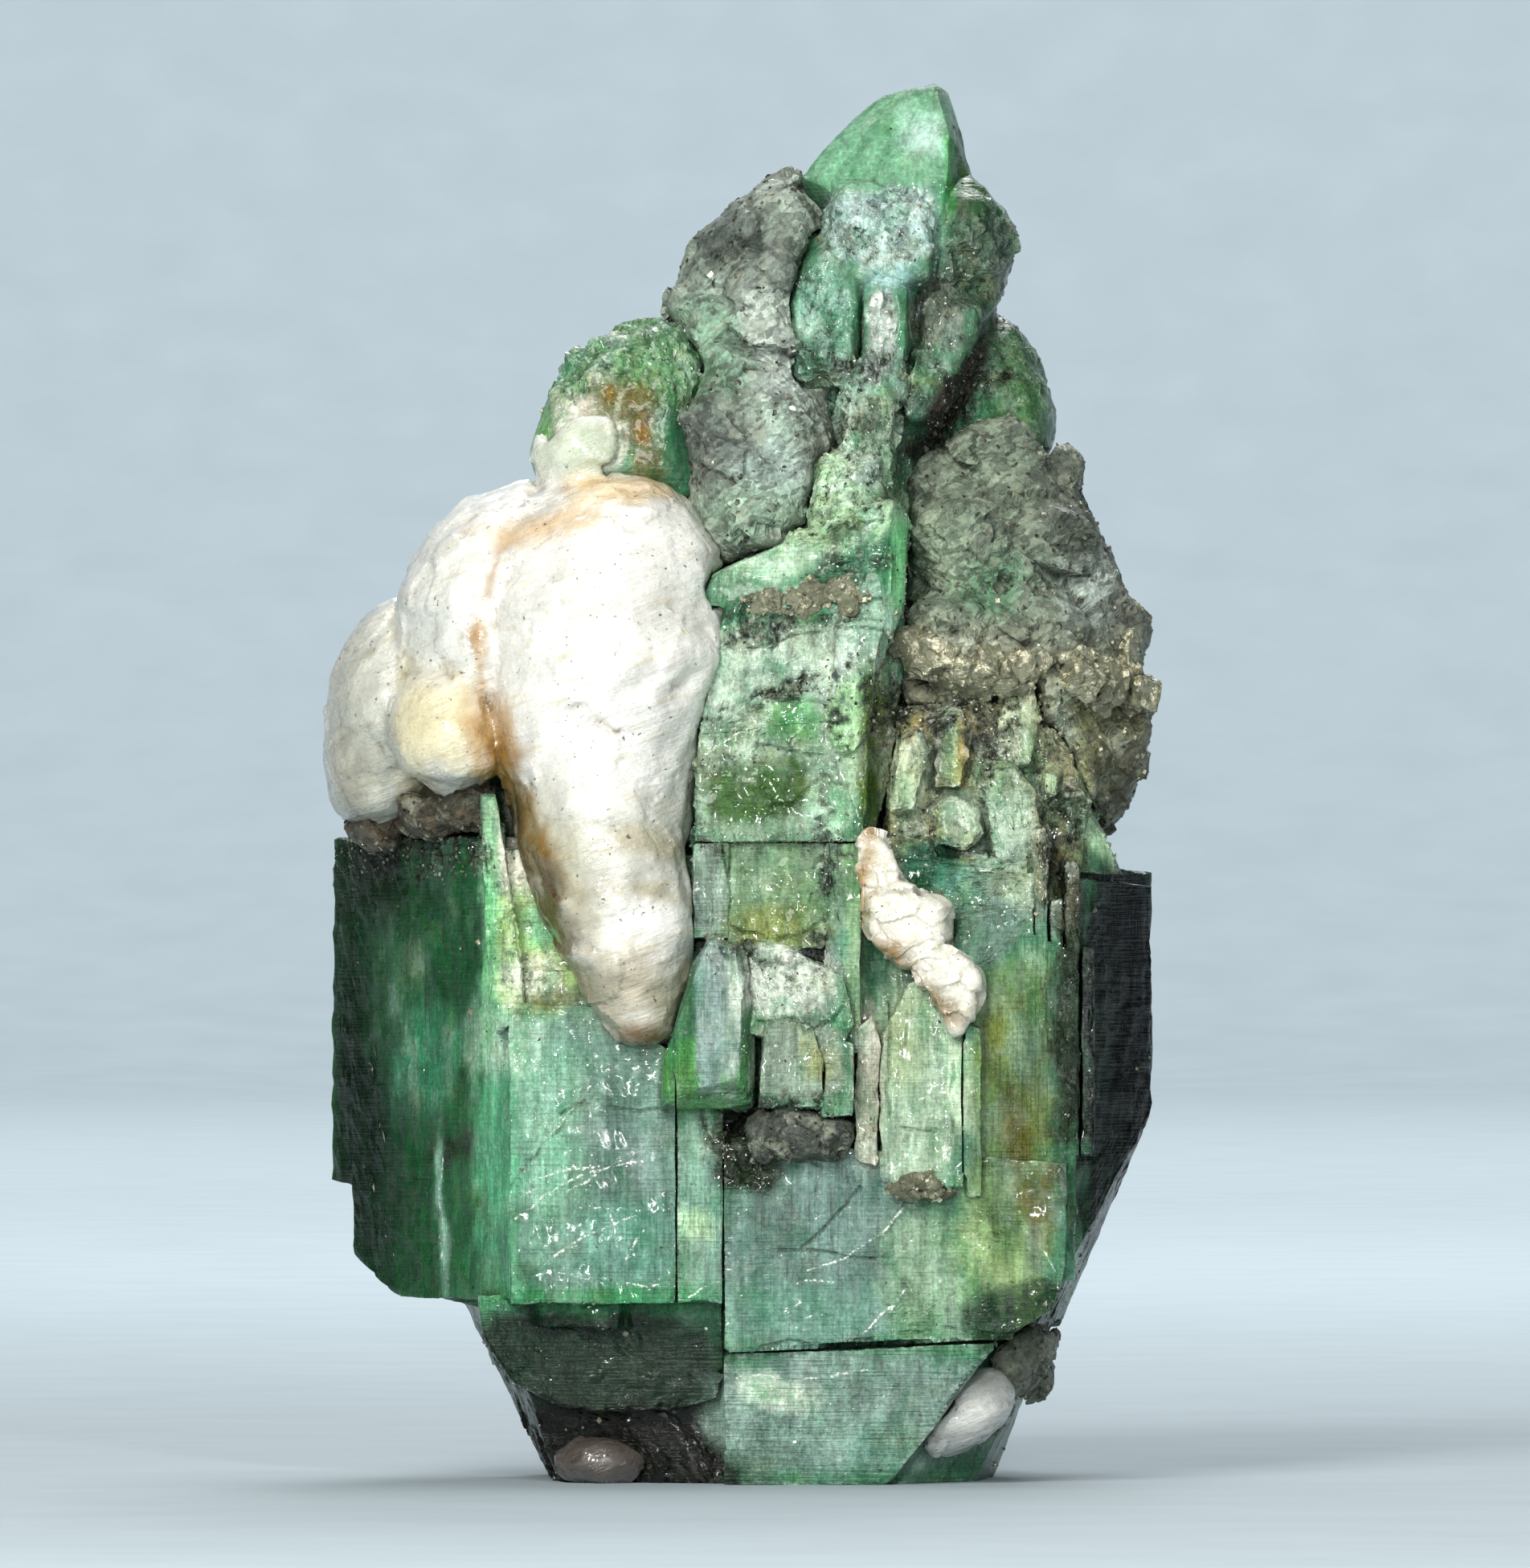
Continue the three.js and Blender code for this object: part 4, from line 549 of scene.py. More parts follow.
# painted glints: near-white threads along clean cracks, where an air film mirrors the light
painted_glint_lines = [
    [(-2.85, 3.31), (-2.43, 3.61), (-2.05, 3.86), (-1.60, 3.98), (-1.28, 4.06)],
    [(-2.65, 3.78), (-2.15, 3.93), (-1.83, 3.98)],
    [(-2.20, 3.63), (-1.75, 3.93), (-1.15, 4.33)],
    [(-2.48, 2.71), (-2.05, 3.03), (-1.65, 3.21), (-1.15, 3.43), (-0.83, 3.86)],
    [(-2.08, 3.46), (-1.55, 3.41), (-1.10, 3.41)],
    [(-1.48, 2.83), (-1.35, 3.01), (-1.20, 3.23)],
    [(-1.68, 3.33), (-1.60, 2.93)],
    [(-2.30, 2.63), (-1.75, 2.51), (-0.85, 2.53)],
    [(-2.48, 4.28), (-1.90, 4.96)],
    [(-0.72, 2.36), (-0.35, 2.58), (-0.05, 2.71)],
    [(0.75, 2.66), (1.25, 2.83), (1.55, 3.08), (2.00, 3.43)],
    [(0.65, 2.53), (1.15, 2.56)],
    [(1.47, 1.88), (1.75, 2.18), (2.07, 2.48)],
    [(0.75, 2.08), (1.05, 2.18)],
    # painted highlights: along the rim of the right corner, and along the ridge of the crystal at the left
    [(3.72, 2.98), (3.95, 2.58), (3.80, 1.93)],
    [(-3.77, 4.08), (-3.78, 3.40), (-3.76, 2.78)],
    [(-0.55, 9.13), (0.05, 9.43), (0.15, 9.48)],
    [(-0.02, 1.40), (0.60, 1.30), (1.60, 1.42)],
]
CRACK_MAP_STEP = 0.02
FRONT_DEPTH = -1.6  # the cracks are drawn on the faces in front of this y
MAP_LOW = np.array([-5.6, -0.4])
MAP_SHAPE = (560, 920)


def crack_map(lines):
    """How far each place on a fine grid in x and z is from the nearest line, in mm."""
    x, z = np.meshgrid(*(MAP_LOW[i] + CRACK_MAP_STEP * np.arange(MAP_SHAPE[i]) for i in range(2)), indexing="ij")
    nearest = np.full(MAP_SHAPE, 9.0)
    for line in lines:
        for (x0, z0), (x1, z1) in zip(line, line[1:]):
            along = np.clip(((x - x0) * (x1 - x0) + (z - z0) * (z1 - z0))
                            / ((x1 - x0) ** 2 + (z1 - z0) ** 2), 0, 1)
            nearest = np.minimum(nearest, np.hypot(x - x0 - along * (x1 - x0), z - z0 - along * (z1 - z0)))
    return nearest


def look_up(grid, points):
    """The grid's value at each point, blended between its four nearest places."""
    place = (points[:, [0, 2]] - MAP_LOW) / CRACK_MAP_STEP
    place = np.clip(place, 0, np.array(MAP_SHAPE) - 1.001)
    i, j = np.floor(place).astype(int).T
    s, t = (place - np.floor(place)).T
    return ((1 - s) * (1 - t) * grid[i, j] + s * (1 - t) * grid[i + 1, j]
            + (1 - s) * t * grid[i, j + 1] + s * t * grid[i + 1, j + 1])


dark_map, glint_map = crack_map(dark_cracks), crack_map(painted_glint_lines)
any_map = np.minimum(dark_map, glint_map)
print("cracks:", len(dark_cracks), "dark and", len(painted_glint_lines), "bright")

# %% [markdown]
# Now the solid is cut finer: edges of 0.085 mm at most on the front, where a viewer comes close, of 0.17 mm at the
# back, and of 0.03 mm beside a crack, so that a crack is a real groove.

# %% Fine mesh for the emerald
FRONT_EDGE, BACK_EDGE, CRACK_EDGE = 0.085, 0.17, 0.032
BESIDE_CRACK = 0.07


def emerald_edge(points):
    """The longest edge wanted at each point."""
    return FRONT_EDGE + (BACK_EDGE - FRONT_EDGE) * fade((points[:, 1] + 1.2) / 1.5)


def crack_edge(points):
    """The same, with short edges beside the cracks on the front."""
    beside = (look_up(any_map, points) < BESIDE_CRACK) & (points[:, 1] < FRONT_DEPTH)
    return np.where(beside, CRACK_EDGE, emerald_edge(points))


corners, triangles = refine(corners, triangles, emerald_edge)
print("even mesh:", len(triangles), "triangles")
corners, triangles = refine(corners, triangles, crack_edge, passes=3)
print("with cracks:", len(triangles), "triangles")

# %% [markdown]
# No patch on a stone has a clean border. These functions say how far inside a patch each point lies, with borders
# that wander and fray, and lay the patches of a table over a plain colour.

# %% Borders that fray
def wobbled(points, reach, size, seed):
    """The points moved about in x and z, so that borders drawn with them look natural."""
    moved = points.copy()
    moved[:, 0] += reach * ripple(points, size, seed)
    moved[:, 2] += reach * ripple(points, size, seed + 1)
    return moved


def ragged(points, seed):
    """Noise at two scales, for borders that fray."""
    return 0.65 * ripple(points, 0.34, seed) + 0.45 * ripple(points, (0.1, 0.1, 0.14), seed + 1)


def patch_cover(points, frayed, middle_x, middle_z, wide, high, turn, soft):
    """How far each place is inside a rounded box, from 0 outside to 1 inside. Its border also frays a little."""
    x, z = points[:, 0] - middle_x, points[:, 2] - middle_z
    c, s = math.cos(math.radians(turn)), math.sin(math.radians(turn))
    reach = ((np.abs(c * x + s * z) / wide) ** 3 + (np.abs(c * z - s * x) / high) ** 3) ** (1 / 3)
    outside = (reach - 1) * min(wide, high)
    fray = min(0.6 * soft + 0.02, 0.13)
    return fade(0.5 - (outside + fray * frayed) / (1.5 * soft + 0.02))


def painted(corners, base, patches, seed):
    """A colour for each point: the base, with a table's patches laid over it on the front."""
    borders, frayed = wobbled(corners, 0.1, 0.5, seed), ragged(corners, seed + 1)
    tint = np.tile(linear(base), (len(corners), 1))
    front = front_of(corners)
    for colour, *box, strength in patches:
        cover = front * strength * patch_cover(borders, frayed, *box)
        tint += (np.array(linear(colour)) - tint) * cover[:, None]
    return tint


across_a_border = np.array([[0.8, 0, 0], [1.0, 0, 0], [1.2, 0, 0]])
print("cover at a patch's border:", patch_cover(across_a_border, 0, 0, 0, 1, 1, 0, 0.2).round(2).tolist())

# %% [markdown]
# The emerald's table also says how broken each patch is, so it is laid on here. Round the back, where nothing is
# drawn, the crystals are a plain deep green and a third broken. The mica dust follows its own table.

# %% Green, broken and dusty places on the emerald
front = front_of(corners)
borders, frayed = wobbled(corners, 0.05, 0.5, 11), ragged(corners, 13)
broken = 0.35 * (1 - front)
rear_green, front_green = np.array(linear(EMERALD_BACK)), np.array(linear(EMERALD_BASE))
tint = rear_green + (front_green - rear_green) * front[:, None]
for colour, x, z, wide, high, turn, soft, strength, rough in emerald_patches:
    cover = front * strength * patch_cover(borders, frayed, x, z, wide, high, turn, soft)
    tint += (np.array(linear(colour)) - tint) * cover[:, None]
    broken += (rough - broken) * cover

dusty = np.zeros(len(corners))
for x, z, wide, high, turn, strength in mica_dust:
    dusty = np.maximum(dusty, front * strength * patch_cover(borders, frayed * 2.2, x, z, wide, high, turn, 0.16))
dusty = np.clip(1.8 * dusty * fade(0.75 + 1.3 * ripple(corners, (0.16, 0.16, 0.1), 38)), 0, 1)
broken = np.maximum(broken, 0.7 * dusty)
print("share broken:", round(float(broken.mean()), 2), " share dusty:", round(float(dusty.mean()), 2))

# %% [markdown]
# The wear goes on in the order nature did it. First the broken top was rubbed round, while the crystal point and the
# prisms below kept their edges. Later steps bite more where an edge still stands out.

# %% Rub the top round
PRISM_TOP, SHOULDERS = 8.0, 12.1
POINT_FOOT, POINT_SIDE = 16.2, 2.75
edges = edge_list(triangles, len(corners))[0]
x, z = corners[:, 0], corners[:, 2]
still_sharp = ((z > POINT_FOOT) & (x < POINT_SIDE)) | (z < PRISM_TOP)
worn = fade((z - SHOULDERS) / 0.5) + 0.45 * fade((z - PRISM_TOP - 0.1) / 0.3) * (front_of(corners) > 0.5)
worn = np.clip(np.where(still_sharp, 0, worn), 0, 1)
worn = eased(np.repeat(worn[:, None], 3, axis=1), edges, 4)
corners = corners + 0.85 * worn * (eased(corners, edges, 12) - corners)
outward = facing(corners, triangles)
bitten = fade((((corners - eased(corners, edges, 8)) * outward).sum(axis=1) - 0.01) / 0.06)
print("share rubbed round:", round(float(worn.mean()), 2))

# %% [markdown]
# The prism faces grew with shallow ribs, broken parts are chipped and pitted, and cracks opened. Each step adds a few
# hundredths of a millimetre, which is enough to make ruler-straight CAD edges look like stone.

# %% Ribs, chips and grooves on the emerald
GROOVE_WIDE, GROOVE_DEEP = 0.026, 0.035
GLINT_REACH = 0.2
ribs = ripple(corners, (0.16, 0.16, 3.0), 21) * 0.6 + ripple(corners, (0.42, 0.42, 4.0), 22)
ribs = np.round(ribs * 2.5) / 2.5
height = 0.010 * ribs * (1 - np.abs(outward[:, 2]))
# chips at two sizes over the whole stone, deepest where it is broken
height += (0.004 + 0.085 * broken) * chips(corners + 0.12 * swirl(corners, 0.3, 23), (0.34, 0.34, 0.5), 24)
height += (0.002 + 0.055 * broken) * chips(corners + 0.04 * swirl(corners, 0.1, 39), (0.13, 0.13, 0.18), 25)
height += (0.004 + 0.03 * broken) * ripple(corners, 0.3, 26)
# larger crags on the broken top
crags = worn[:, 0] * fade((broken - 0.15) / 0.5)
height += 0.09 * crags * chips(corners + 0.2 * swirl(corners, 0.5, 50), (0.55, 0.55, 0.7), 51)
height += 0.06 * crags * ripple(corners, (0.3, 0.3, 0.45), 53)
# nicks along the edges
height -= bitten * (0.006 + (0.035 + 0.13 * broken) * np.maximum(ripple(corners, 0.33, 36) + 0.15, 0))
height -= bitten * 0.035 * np.maximum(ripple(corners, 0.12, 37), 0)
# the dark cracks are grooves, and film is the distance in mm to the middle of a bright one, which the material paints
# as a glint
in_front = (outward[:, 1] < -0.35) & (corners[:, 1] < FRONT_DEPTH)
crooked = wobbled(corners, 0.03, 0.16, 27)
dark_line = np.where(in_front, 1 - np.clip(look_up(dark_map, crooked) / GROOVE_WIDE, 0, 1), 0)
dark_line *= fade(1.0 + 1.8 * ripple(corners, 0.3, 30))
height -= GROOVE_DEEP * dark_line
film = look_up(glint_map, wobbled(crooked, 0.02, 0.5, 31)) + 0.02 * np.maximum(-ripple(corners, 0.25, 28), 0)
film = np.where(in_front, np.minimum(film, GLINT_REACH), GLINT_REACH)
# straight edges wander a little to the side as well
shift = 0.03 * swirl(corners, 0.8, 29) + 0.02 * swirl(corners, 0.28, 33)
shift -= 0.7 * (shift * outward).sum(axis=1)[:, None] * outward
corners = corners + outward * height[:, None] + shift
print("height of the wear in mm:", round(float(height.min()), 3), "to", round(float(height.max()), 3))

# %% [markdown]
# The solid's clefts between prisms run as even slots. Here their walls are drawn together, unevenly, until they are
# only hair-wide in places. Each is given by its axis, the places along it and the cleft's middle there.

# %% Squeeze the clefts
CLEFT_REACH = 0.08
CLEFT_DEPTH = -3.1
clefts = [(0, (0.0, 4.65), (-0.2475, -0.2475)), (0, (2.2, 5.1), (-0.8375, -0.8375)),
          (0, (3.9, 5.5), (2.725, 2.725)), (2, (-0.62, 1.5), (8.0, 8.0)), (2, (-0.2, 1.5, 3.5), (1.65, 1.70, 1.82))]
for axis, places, middles in clefts:
    along = corners[:, 2 - axis]
    away = corners[:, axis] - np.interp(along, places, middles)
    inside = (np.abs(away) < CLEFT_REACH) & (along > places[0]) & (along < places[-1]) & (corners[:, 1] < CLEFT_DEPTH)
    corners[:, axis] -= np.where(inside, away * (0.68 + 0.3 * ripple(corners, (0.7, 9.0, 0.7), 56)), 0)
corners[:, 2] = np.maximum(corners[:, 2], 0.0)
print("squeezed", len(clefts), "clefts")

# %% [markdown]
# Hollows are darkened, partly as dirt and partly as painted shade, and rubbing whitens edges. How hollow a place is
# shows when the mesh is smoothed: there the smoothed surface lies outside the real one, and at an edge inside it.
# Faint veils of other greens, greys and ochre go over it all, strongest where the stone is broken.

# %% Dirt and painted shade in the hollows, frost on the edges
outward = facing(corners, triangles)
near = ((eased(corners, edges, 3) - corners) * outward).sum(axis=1)
wide_hollow = ((eased(corners, edges, 24) - corners) * outward).sum(axis=1)
dust = fade((ripple(corners, 0.5, 41) + 0.4 * ripple(corners, 0.15, 42)) * 1.2)
# painted shade in small and wide hollows; the crack grooves, broken dust and mica dust add real dark dirt
grime = np.clip(fade((near - 0.008) / 0.02) * 0.45 + fade((wide_hollow - 0.04) / 0.09) * 0.5, 0, 1)
grime = np.clip(grime + 0.75 * dark_line + 0.3 * broken * dust + 0.9 * dusty, 0, 1)
frost = 0.45 * fade((-near - 0.010) / 0.025) * fade(4 * tint.max(axis=1))
veils = [("#d7efdc", 0.40, (0.26, 0.26, 0.50), 44), ("#7f9a98", 0.40, (0.40, 0.40, 0.7), 45),
         ("#23804a", 0.45, (0.30, 0.30, 0.6), 46), ("#8a8a4a", 0.35, (0.35, 0.35, 0.3), 49),
         ("#1c3b2a", 0.55, (0.20, 0.20, 0.34), 47)]
for colour, strength, size, seed in veils:
    veil = fade((ripple(corners, size, seed) + 0.5 * ripple(corners, 0.11, seed + 5) - 0.15) * 1.6)
    veil *= strength * (0.3 + 1.1 * broken) * fade(4 * tint.max(axis=1))
    tint += (np.array(linear(colour)) - tint) * np.clip(veil, 0, 1)[:, None]
tint *= (1 + (0.10 + 0.2 * broken) * ripple(corners, 0.3, 43))[:, None]
striped = np.clip(1.15 - 2.4 * broken, 0, 1) * (1 - 0.9 * fade((corners[:, 2] - 11.6) / 0.5))
on_emerald = (corners, triangles)
make_piece("emerald", corners, triangles, EMERALD, "emerald", ["emerald_crystals"], tint=np.clip(tint, 0, 1),
           grime=grime, frost=frost, broken=np.clip(broken, 0, 1), striped=striped, film=film)

# %% [markdown]
# **Quartz** grew in the gaps as rounded, milky masses. Its refractive index is 1.54. Countless tiny fluid
# bubbles scatter the light, so it is white and glows, and rust from the pyrite has crept along its seams.

# %% Quartz material
def quartz_material():
    """Milky vein quartz: strong scattering, a greasy gloss, veils and rusty seams."""
    material, tree, shader, place = start_material("quartz, milky vein quartz", {
        "IOR": 1.54, "Subsurface Weight": 0.35, "Subsurface Scale": 0.0003,
        "Subsurface Radius": (1.0, 0.95, 0.88), "Transmission Weight": 0.08,
        "Coat Weight": 0.6, "Coat Roughness": 0.1, "Coat IOR": 1.54})
    tint = add(tree, "Attribute", attribute_name="tint")
    grime = add(tree, "Attribute", attribute_name="grime").outputs["Fac"]
    cloud = add(tree, "TexNoise", {"Vector": place, "Scale": 1.8, "Detail": 6.0, "Roughness": 0.62})
    grain = add(tree, "TexNoise", {"Vector": place, "Scale": 18.0, "Detail": 4.0, "Roughness": 0.65})
    slanted = add(tree, "VectorRotate", {"Vector": place, "Angle": 0.35}, rotation_type="Y_AXIS")
    slanted = add(tree, "VectorMath", {0: slanted, 1: (1.6, 1.6, 9.0)}, operation="MULTIPLY")
    wrinkles = add(tree, "TexNoise", {"Vector": slanted, "Scale": 1.0, "Detail": 4.0, "Roughness": 0.6})
    shade = add(tree, "MapRange", {0: cloud, 1: 0.34, 2: 0.62, 3: 0.82, 4: 1.08})
    finer = add(tree, "MapRange", {0: grain, 1: 0.3, 2: 0.7, 3: 0.9, 4: 1.07})
    shade = add(tree, "Math", {0: shade, 1: finer}, operation="MULTIPLY")
    colour = add(tree, "VectorMath", {0: tint, "Scale": shade}, operation="SCALE")
    # honey-brown films lie in the wrinkles and hollows
    film = add(tree, "MapRange", {0: wrinkles, 1: 0.58, 2: 0.68, 3: 0.0, 4: 0.4})
    browner = add(tree, "VectorMath", {0: colour, 1: (0.78, 0.66, 0.42)}, operation="MULTIPLY")
    colour = add(tree, "Mix", {0: film, 6: colour, 7: browner}, data_type="RGBA").outputs[2]
    # brown dirt in the hollows, with painted shade
    dirt_and_shade_mix = add(tree, "MapRange", {0: grain, 1: 0.35, 2: 0.6, 3: 0.4, 4: 1.0})
    dirt_and_shade_mix = add(tree, "Math", {0: dirt_and_shade_mix, 1: grime}, operation="MULTIPLY")
    colour = add(tree, "Mix", {0: dirt_and_shade_mix, 6: colour, 7: (*linear("#70551f"), 1)}, data_type="RGBA").outputs[2]
    spots = add(tree, "TexNoise", {"Vector": place, "Scale": 13.0, "Detail": 2.0, "Roughness": 0.6})
    spots = add(tree, "MapRange", {0: spots, 1: 0.68, 2: 0.72, 3: 0.0, 4: 0.8})
    colour = add(tree, "Mix", {0: spots, 6: colour, 7: (*linear("#3a352c"), 1)}, data_type="RGBA").outputs[2]
    tree.links.new(colour, shader.inputs["Base Color"])
    gloss = add(tree, "MapRange", {0: cloud, 1: 0.35, 2: 0.7, 3: 0.16, 4: 0.42})
    tree.links.new(gloss.outputs[0], shader.inputs["Roughness"])
    relief = add(tree, "Math", {0: wrinkles, 1: 1.6, 2: cloud}, operation="MULTIPLY_ADD")
    relief = add(tree, "Math", {0: grain, 1: 0.5, 2: relief}, operation="MULTIPLY_ADD")
    bump = add(tree, "Bump", {"Height": relief, "Strength": 0.8, "Distance": 0.00004})
    tree.links.new(bump.outputs[0], shader.inputs["Normal"])
    return material


QUARTZ = quartz_material()
print("made", QUARTZ.name)

# %% [markdown]
# The lobes of the CAD solid are faceted. They are cut finer, smoothed until they are round, pushed out again by
# what the smoothing took and by the gap to the emerald, and then given slow swells and faint broken facets. Each
# line of the table is a patch as the emerald's are, without how broken it is.

# %% Quartz pieces
GAP = 0.05  # what the CAD solids leave free between two minerals, in mm
QUARTZ_WHITE = "#f4f2ea"
quartz_patches = [
    # the left lobe, the lobe behind, the honey-coloured knob
    ("#bfc0b1", -4.60, 9.40, 0.60, 1.60, 5, 0.50, 0.9),
    ("#979381", -4.95, 8.60, 0.30, 0.70, 0, 0.50, 0.9),
    ("#e9eae1", -3.80, 11.10, 0.60, 1.30, -20, 0.50, 0.8),
    ("#e5ddba", -3.75, 9.50, 0.45, 0.60, 0, 0.30, 1.0),
    ("#f5eac0", -4.10, 9.40, 0.14, 0.70, 8, 0.25, 0.9),
    ("#b88d3c", -3.10, 9.30, 0.22, 0.60, 20, 0.25, 0.9),
    ("#a07322", -2.95, 9.00, 0.22, 0.22, -20, 0.20, 0.8),
    ("#bd924e", -3.28, 10.30, 0.06, 0.75, 4, 0.12, 0.9),
    ("#ab8040", -3.05, 11.35, 0.06, 0.50, -22, 0.12, 0.8),
    # rust along the top of the main lobe
    ("#e0c396", -2.45, 11.95, 0.55, 0.16, 20, 0.25, 0.9),
    ("#dfc18d", -1.45, 12.42, 0.60, 0.14, 0, 0.20, 0.9),
    # the wrinkled and browned lower part
    ("#d1d1c2", -1.50, 7.90, 1.00, 0.60, 0, 0.60, 0.7),
    ("#bfb598", -1.00, 7.95, 0.50, 0.14, -14, 0.16, 0.8),
    ("#b3aa8b", -1.10, 7.35, 0.60, 0.12, -12, 0.14, 0.8),
    ("#a59d75", -2.25, 7.60, 0.30, 1.00, 19, 0.40, 0.7),
    ("#8a6a2c", -2.66, 8.10, 0.22, 0.60, 19, 0.20, 0.95),
    ("#5a420c", -2.76, 8.10, 0.12, 0.60, 19, 0.14, 0.9),
    ("#5a420c", -2.38, 7.05, 0.15, 0.65, 19, 0.16, 0.95),
    ("#65490f", -1.96, 6.05, 0.13, 0.55, 27, 0.16, 0.9),
    ("#a9853f", -3.05, 8.75, 0.22, 0.22, 0, 0.20, 0.9),
    ("#aca081", -1.35, 6.10, 0.60, 0.60, 20, 0.35, 0.8),
    ("#e4dfd1", -1.30, 5.90, 0.22, 0.12, -20, 0.12, 0.8),
    ("#735424", -1.35, 5.58, 0.28, 0.14, 0, 0.16, 0.9),
    ("#7d6a40", -0.80, 6.00, 0.08, 0.50, -15, 0.12, 0.7),
    # the pale green nub on the shoulder, and honey on the seam at the right
    ("#c6cfb8", -1.80, 12.95, 0.75, 0.34, 0, 0.20, 1.0),
    ("#a8823c", 1.50, 7.55, 0.09, 0.60, 0, 0.12, 0.9),
    ("#94702c", 1.82, 6.62, 0.12, 0.42, 40, 0.14, 0.9),
    ("#8a7038", 2.45, 6.02, 0.10, 0.36, 45, 0.14, 0.8),
]


def even_mesh(node, edge):
    """A node's corners and triangles, cut until no edge is longer than `edge` mm, and its edges."""
    corners, triangles = refine(*solid_mesh(node), lambda points: edge)
    return corners, triangles, edge_list(triangles, len(corners))[0]


def dress_quartz(name, node, rounds=26, edge=0.085, seed=60, base=QUARTZ_WHITE, jagged=0.0):
    """A rounded, swelling quartz piece in place of a node; jagged breaks its surface into chips."""
    corners, triangles, edges = even_mesh(node, edge)
    rounded = eased(corners, edges, rounds)
    outward = facing(rounded, triangles)
    lost = ((corners - rounded) * outward).sum(axis=1)
    lost = eased(np.repeat(lost[:, None], 3, axis=1), edges, 12)[:, 0]
    corners = rounded + outward * (lost + GAP)[:, None]
    height = 0.05 * ripple(corners, 0.9, seed) + 0.03 * ripple(corners, 0.35, seed + 1)
    height += 0.04 * chips(corners + 0.1 * swirl(corners, 0.5, seed + 2), (0.9, 0.9, 0.55), seed + 5)
    slanted = corners + np.array([0, 0, 0.3]) * corners[:, :1]
    lower = 0.25 + fade((8.6 - corners[:, 2]) / 0.6)
    height += 0.03 * lower * ripple(slanted + 0.1 * swirl(corners, 0.4, seed + 3), (1.3, 1.3, 0.2), seed + 9)
    height += 0.012 * ripple(corners, 0.14, seed + 6) + 0.006 * ripple(corners, 0.07, seed + 10)
    height += jagged * (chips(corners, (0.45, 0.45, 0.32), seed + 11, slope=1.5) - 0.3)
    corners = corners + outward * height[:, None]
    corners[:, 2] = np.maximum(corners[:, 2], 0.0)
    tint = painted(corners, base, quartz_patches, seed + 7)
    outward = facing(corners, triangles)
    # darker in the hollows: dirt and painted shade
    hollow = ((eased(corners, edges, 16) - corners) * outward).sum(axis=1)
    grime = fade((hollow - 0.012) / 0.05)
    make_piece(name, corners, triangles, QUARTZ, "quartz", [node], crease=60, tint=np.clip(tint, 0, 1), grime=grime)


dress_quartz("quartz_lobes", "quartz_lumps")
dress_quartz("quartz_vein", "quartz_seam", rounds=6, edge=0.05, seed=70, base="#e8e4d4", jagged=0.06)
dress_quartz("quartz_pebble_right", "quartz_foot_right", rounds=6, edge=0.07, seed=80, base="#dcdcd6")
dress_quartz("quartz_pebble_left", "quartz_foot_left", rounds=6, edge=0.07, seed=90, base="#57504a")
dress_quartz("quartz_rear", "quartz_back", rounds=8, edge=0.09, seed=100)

# %% [markdown]
# **Mica schist** is the rock that the crystals grew in: countless dark flakes of mica pressed together. The mass is
# dull, but each flake is a tiny mirror. The rough mass comes from the CAD solid, broken into chips at two sizes.
# Loose flakes are added further down as real, thin plates, because only real ones glitter from every side.

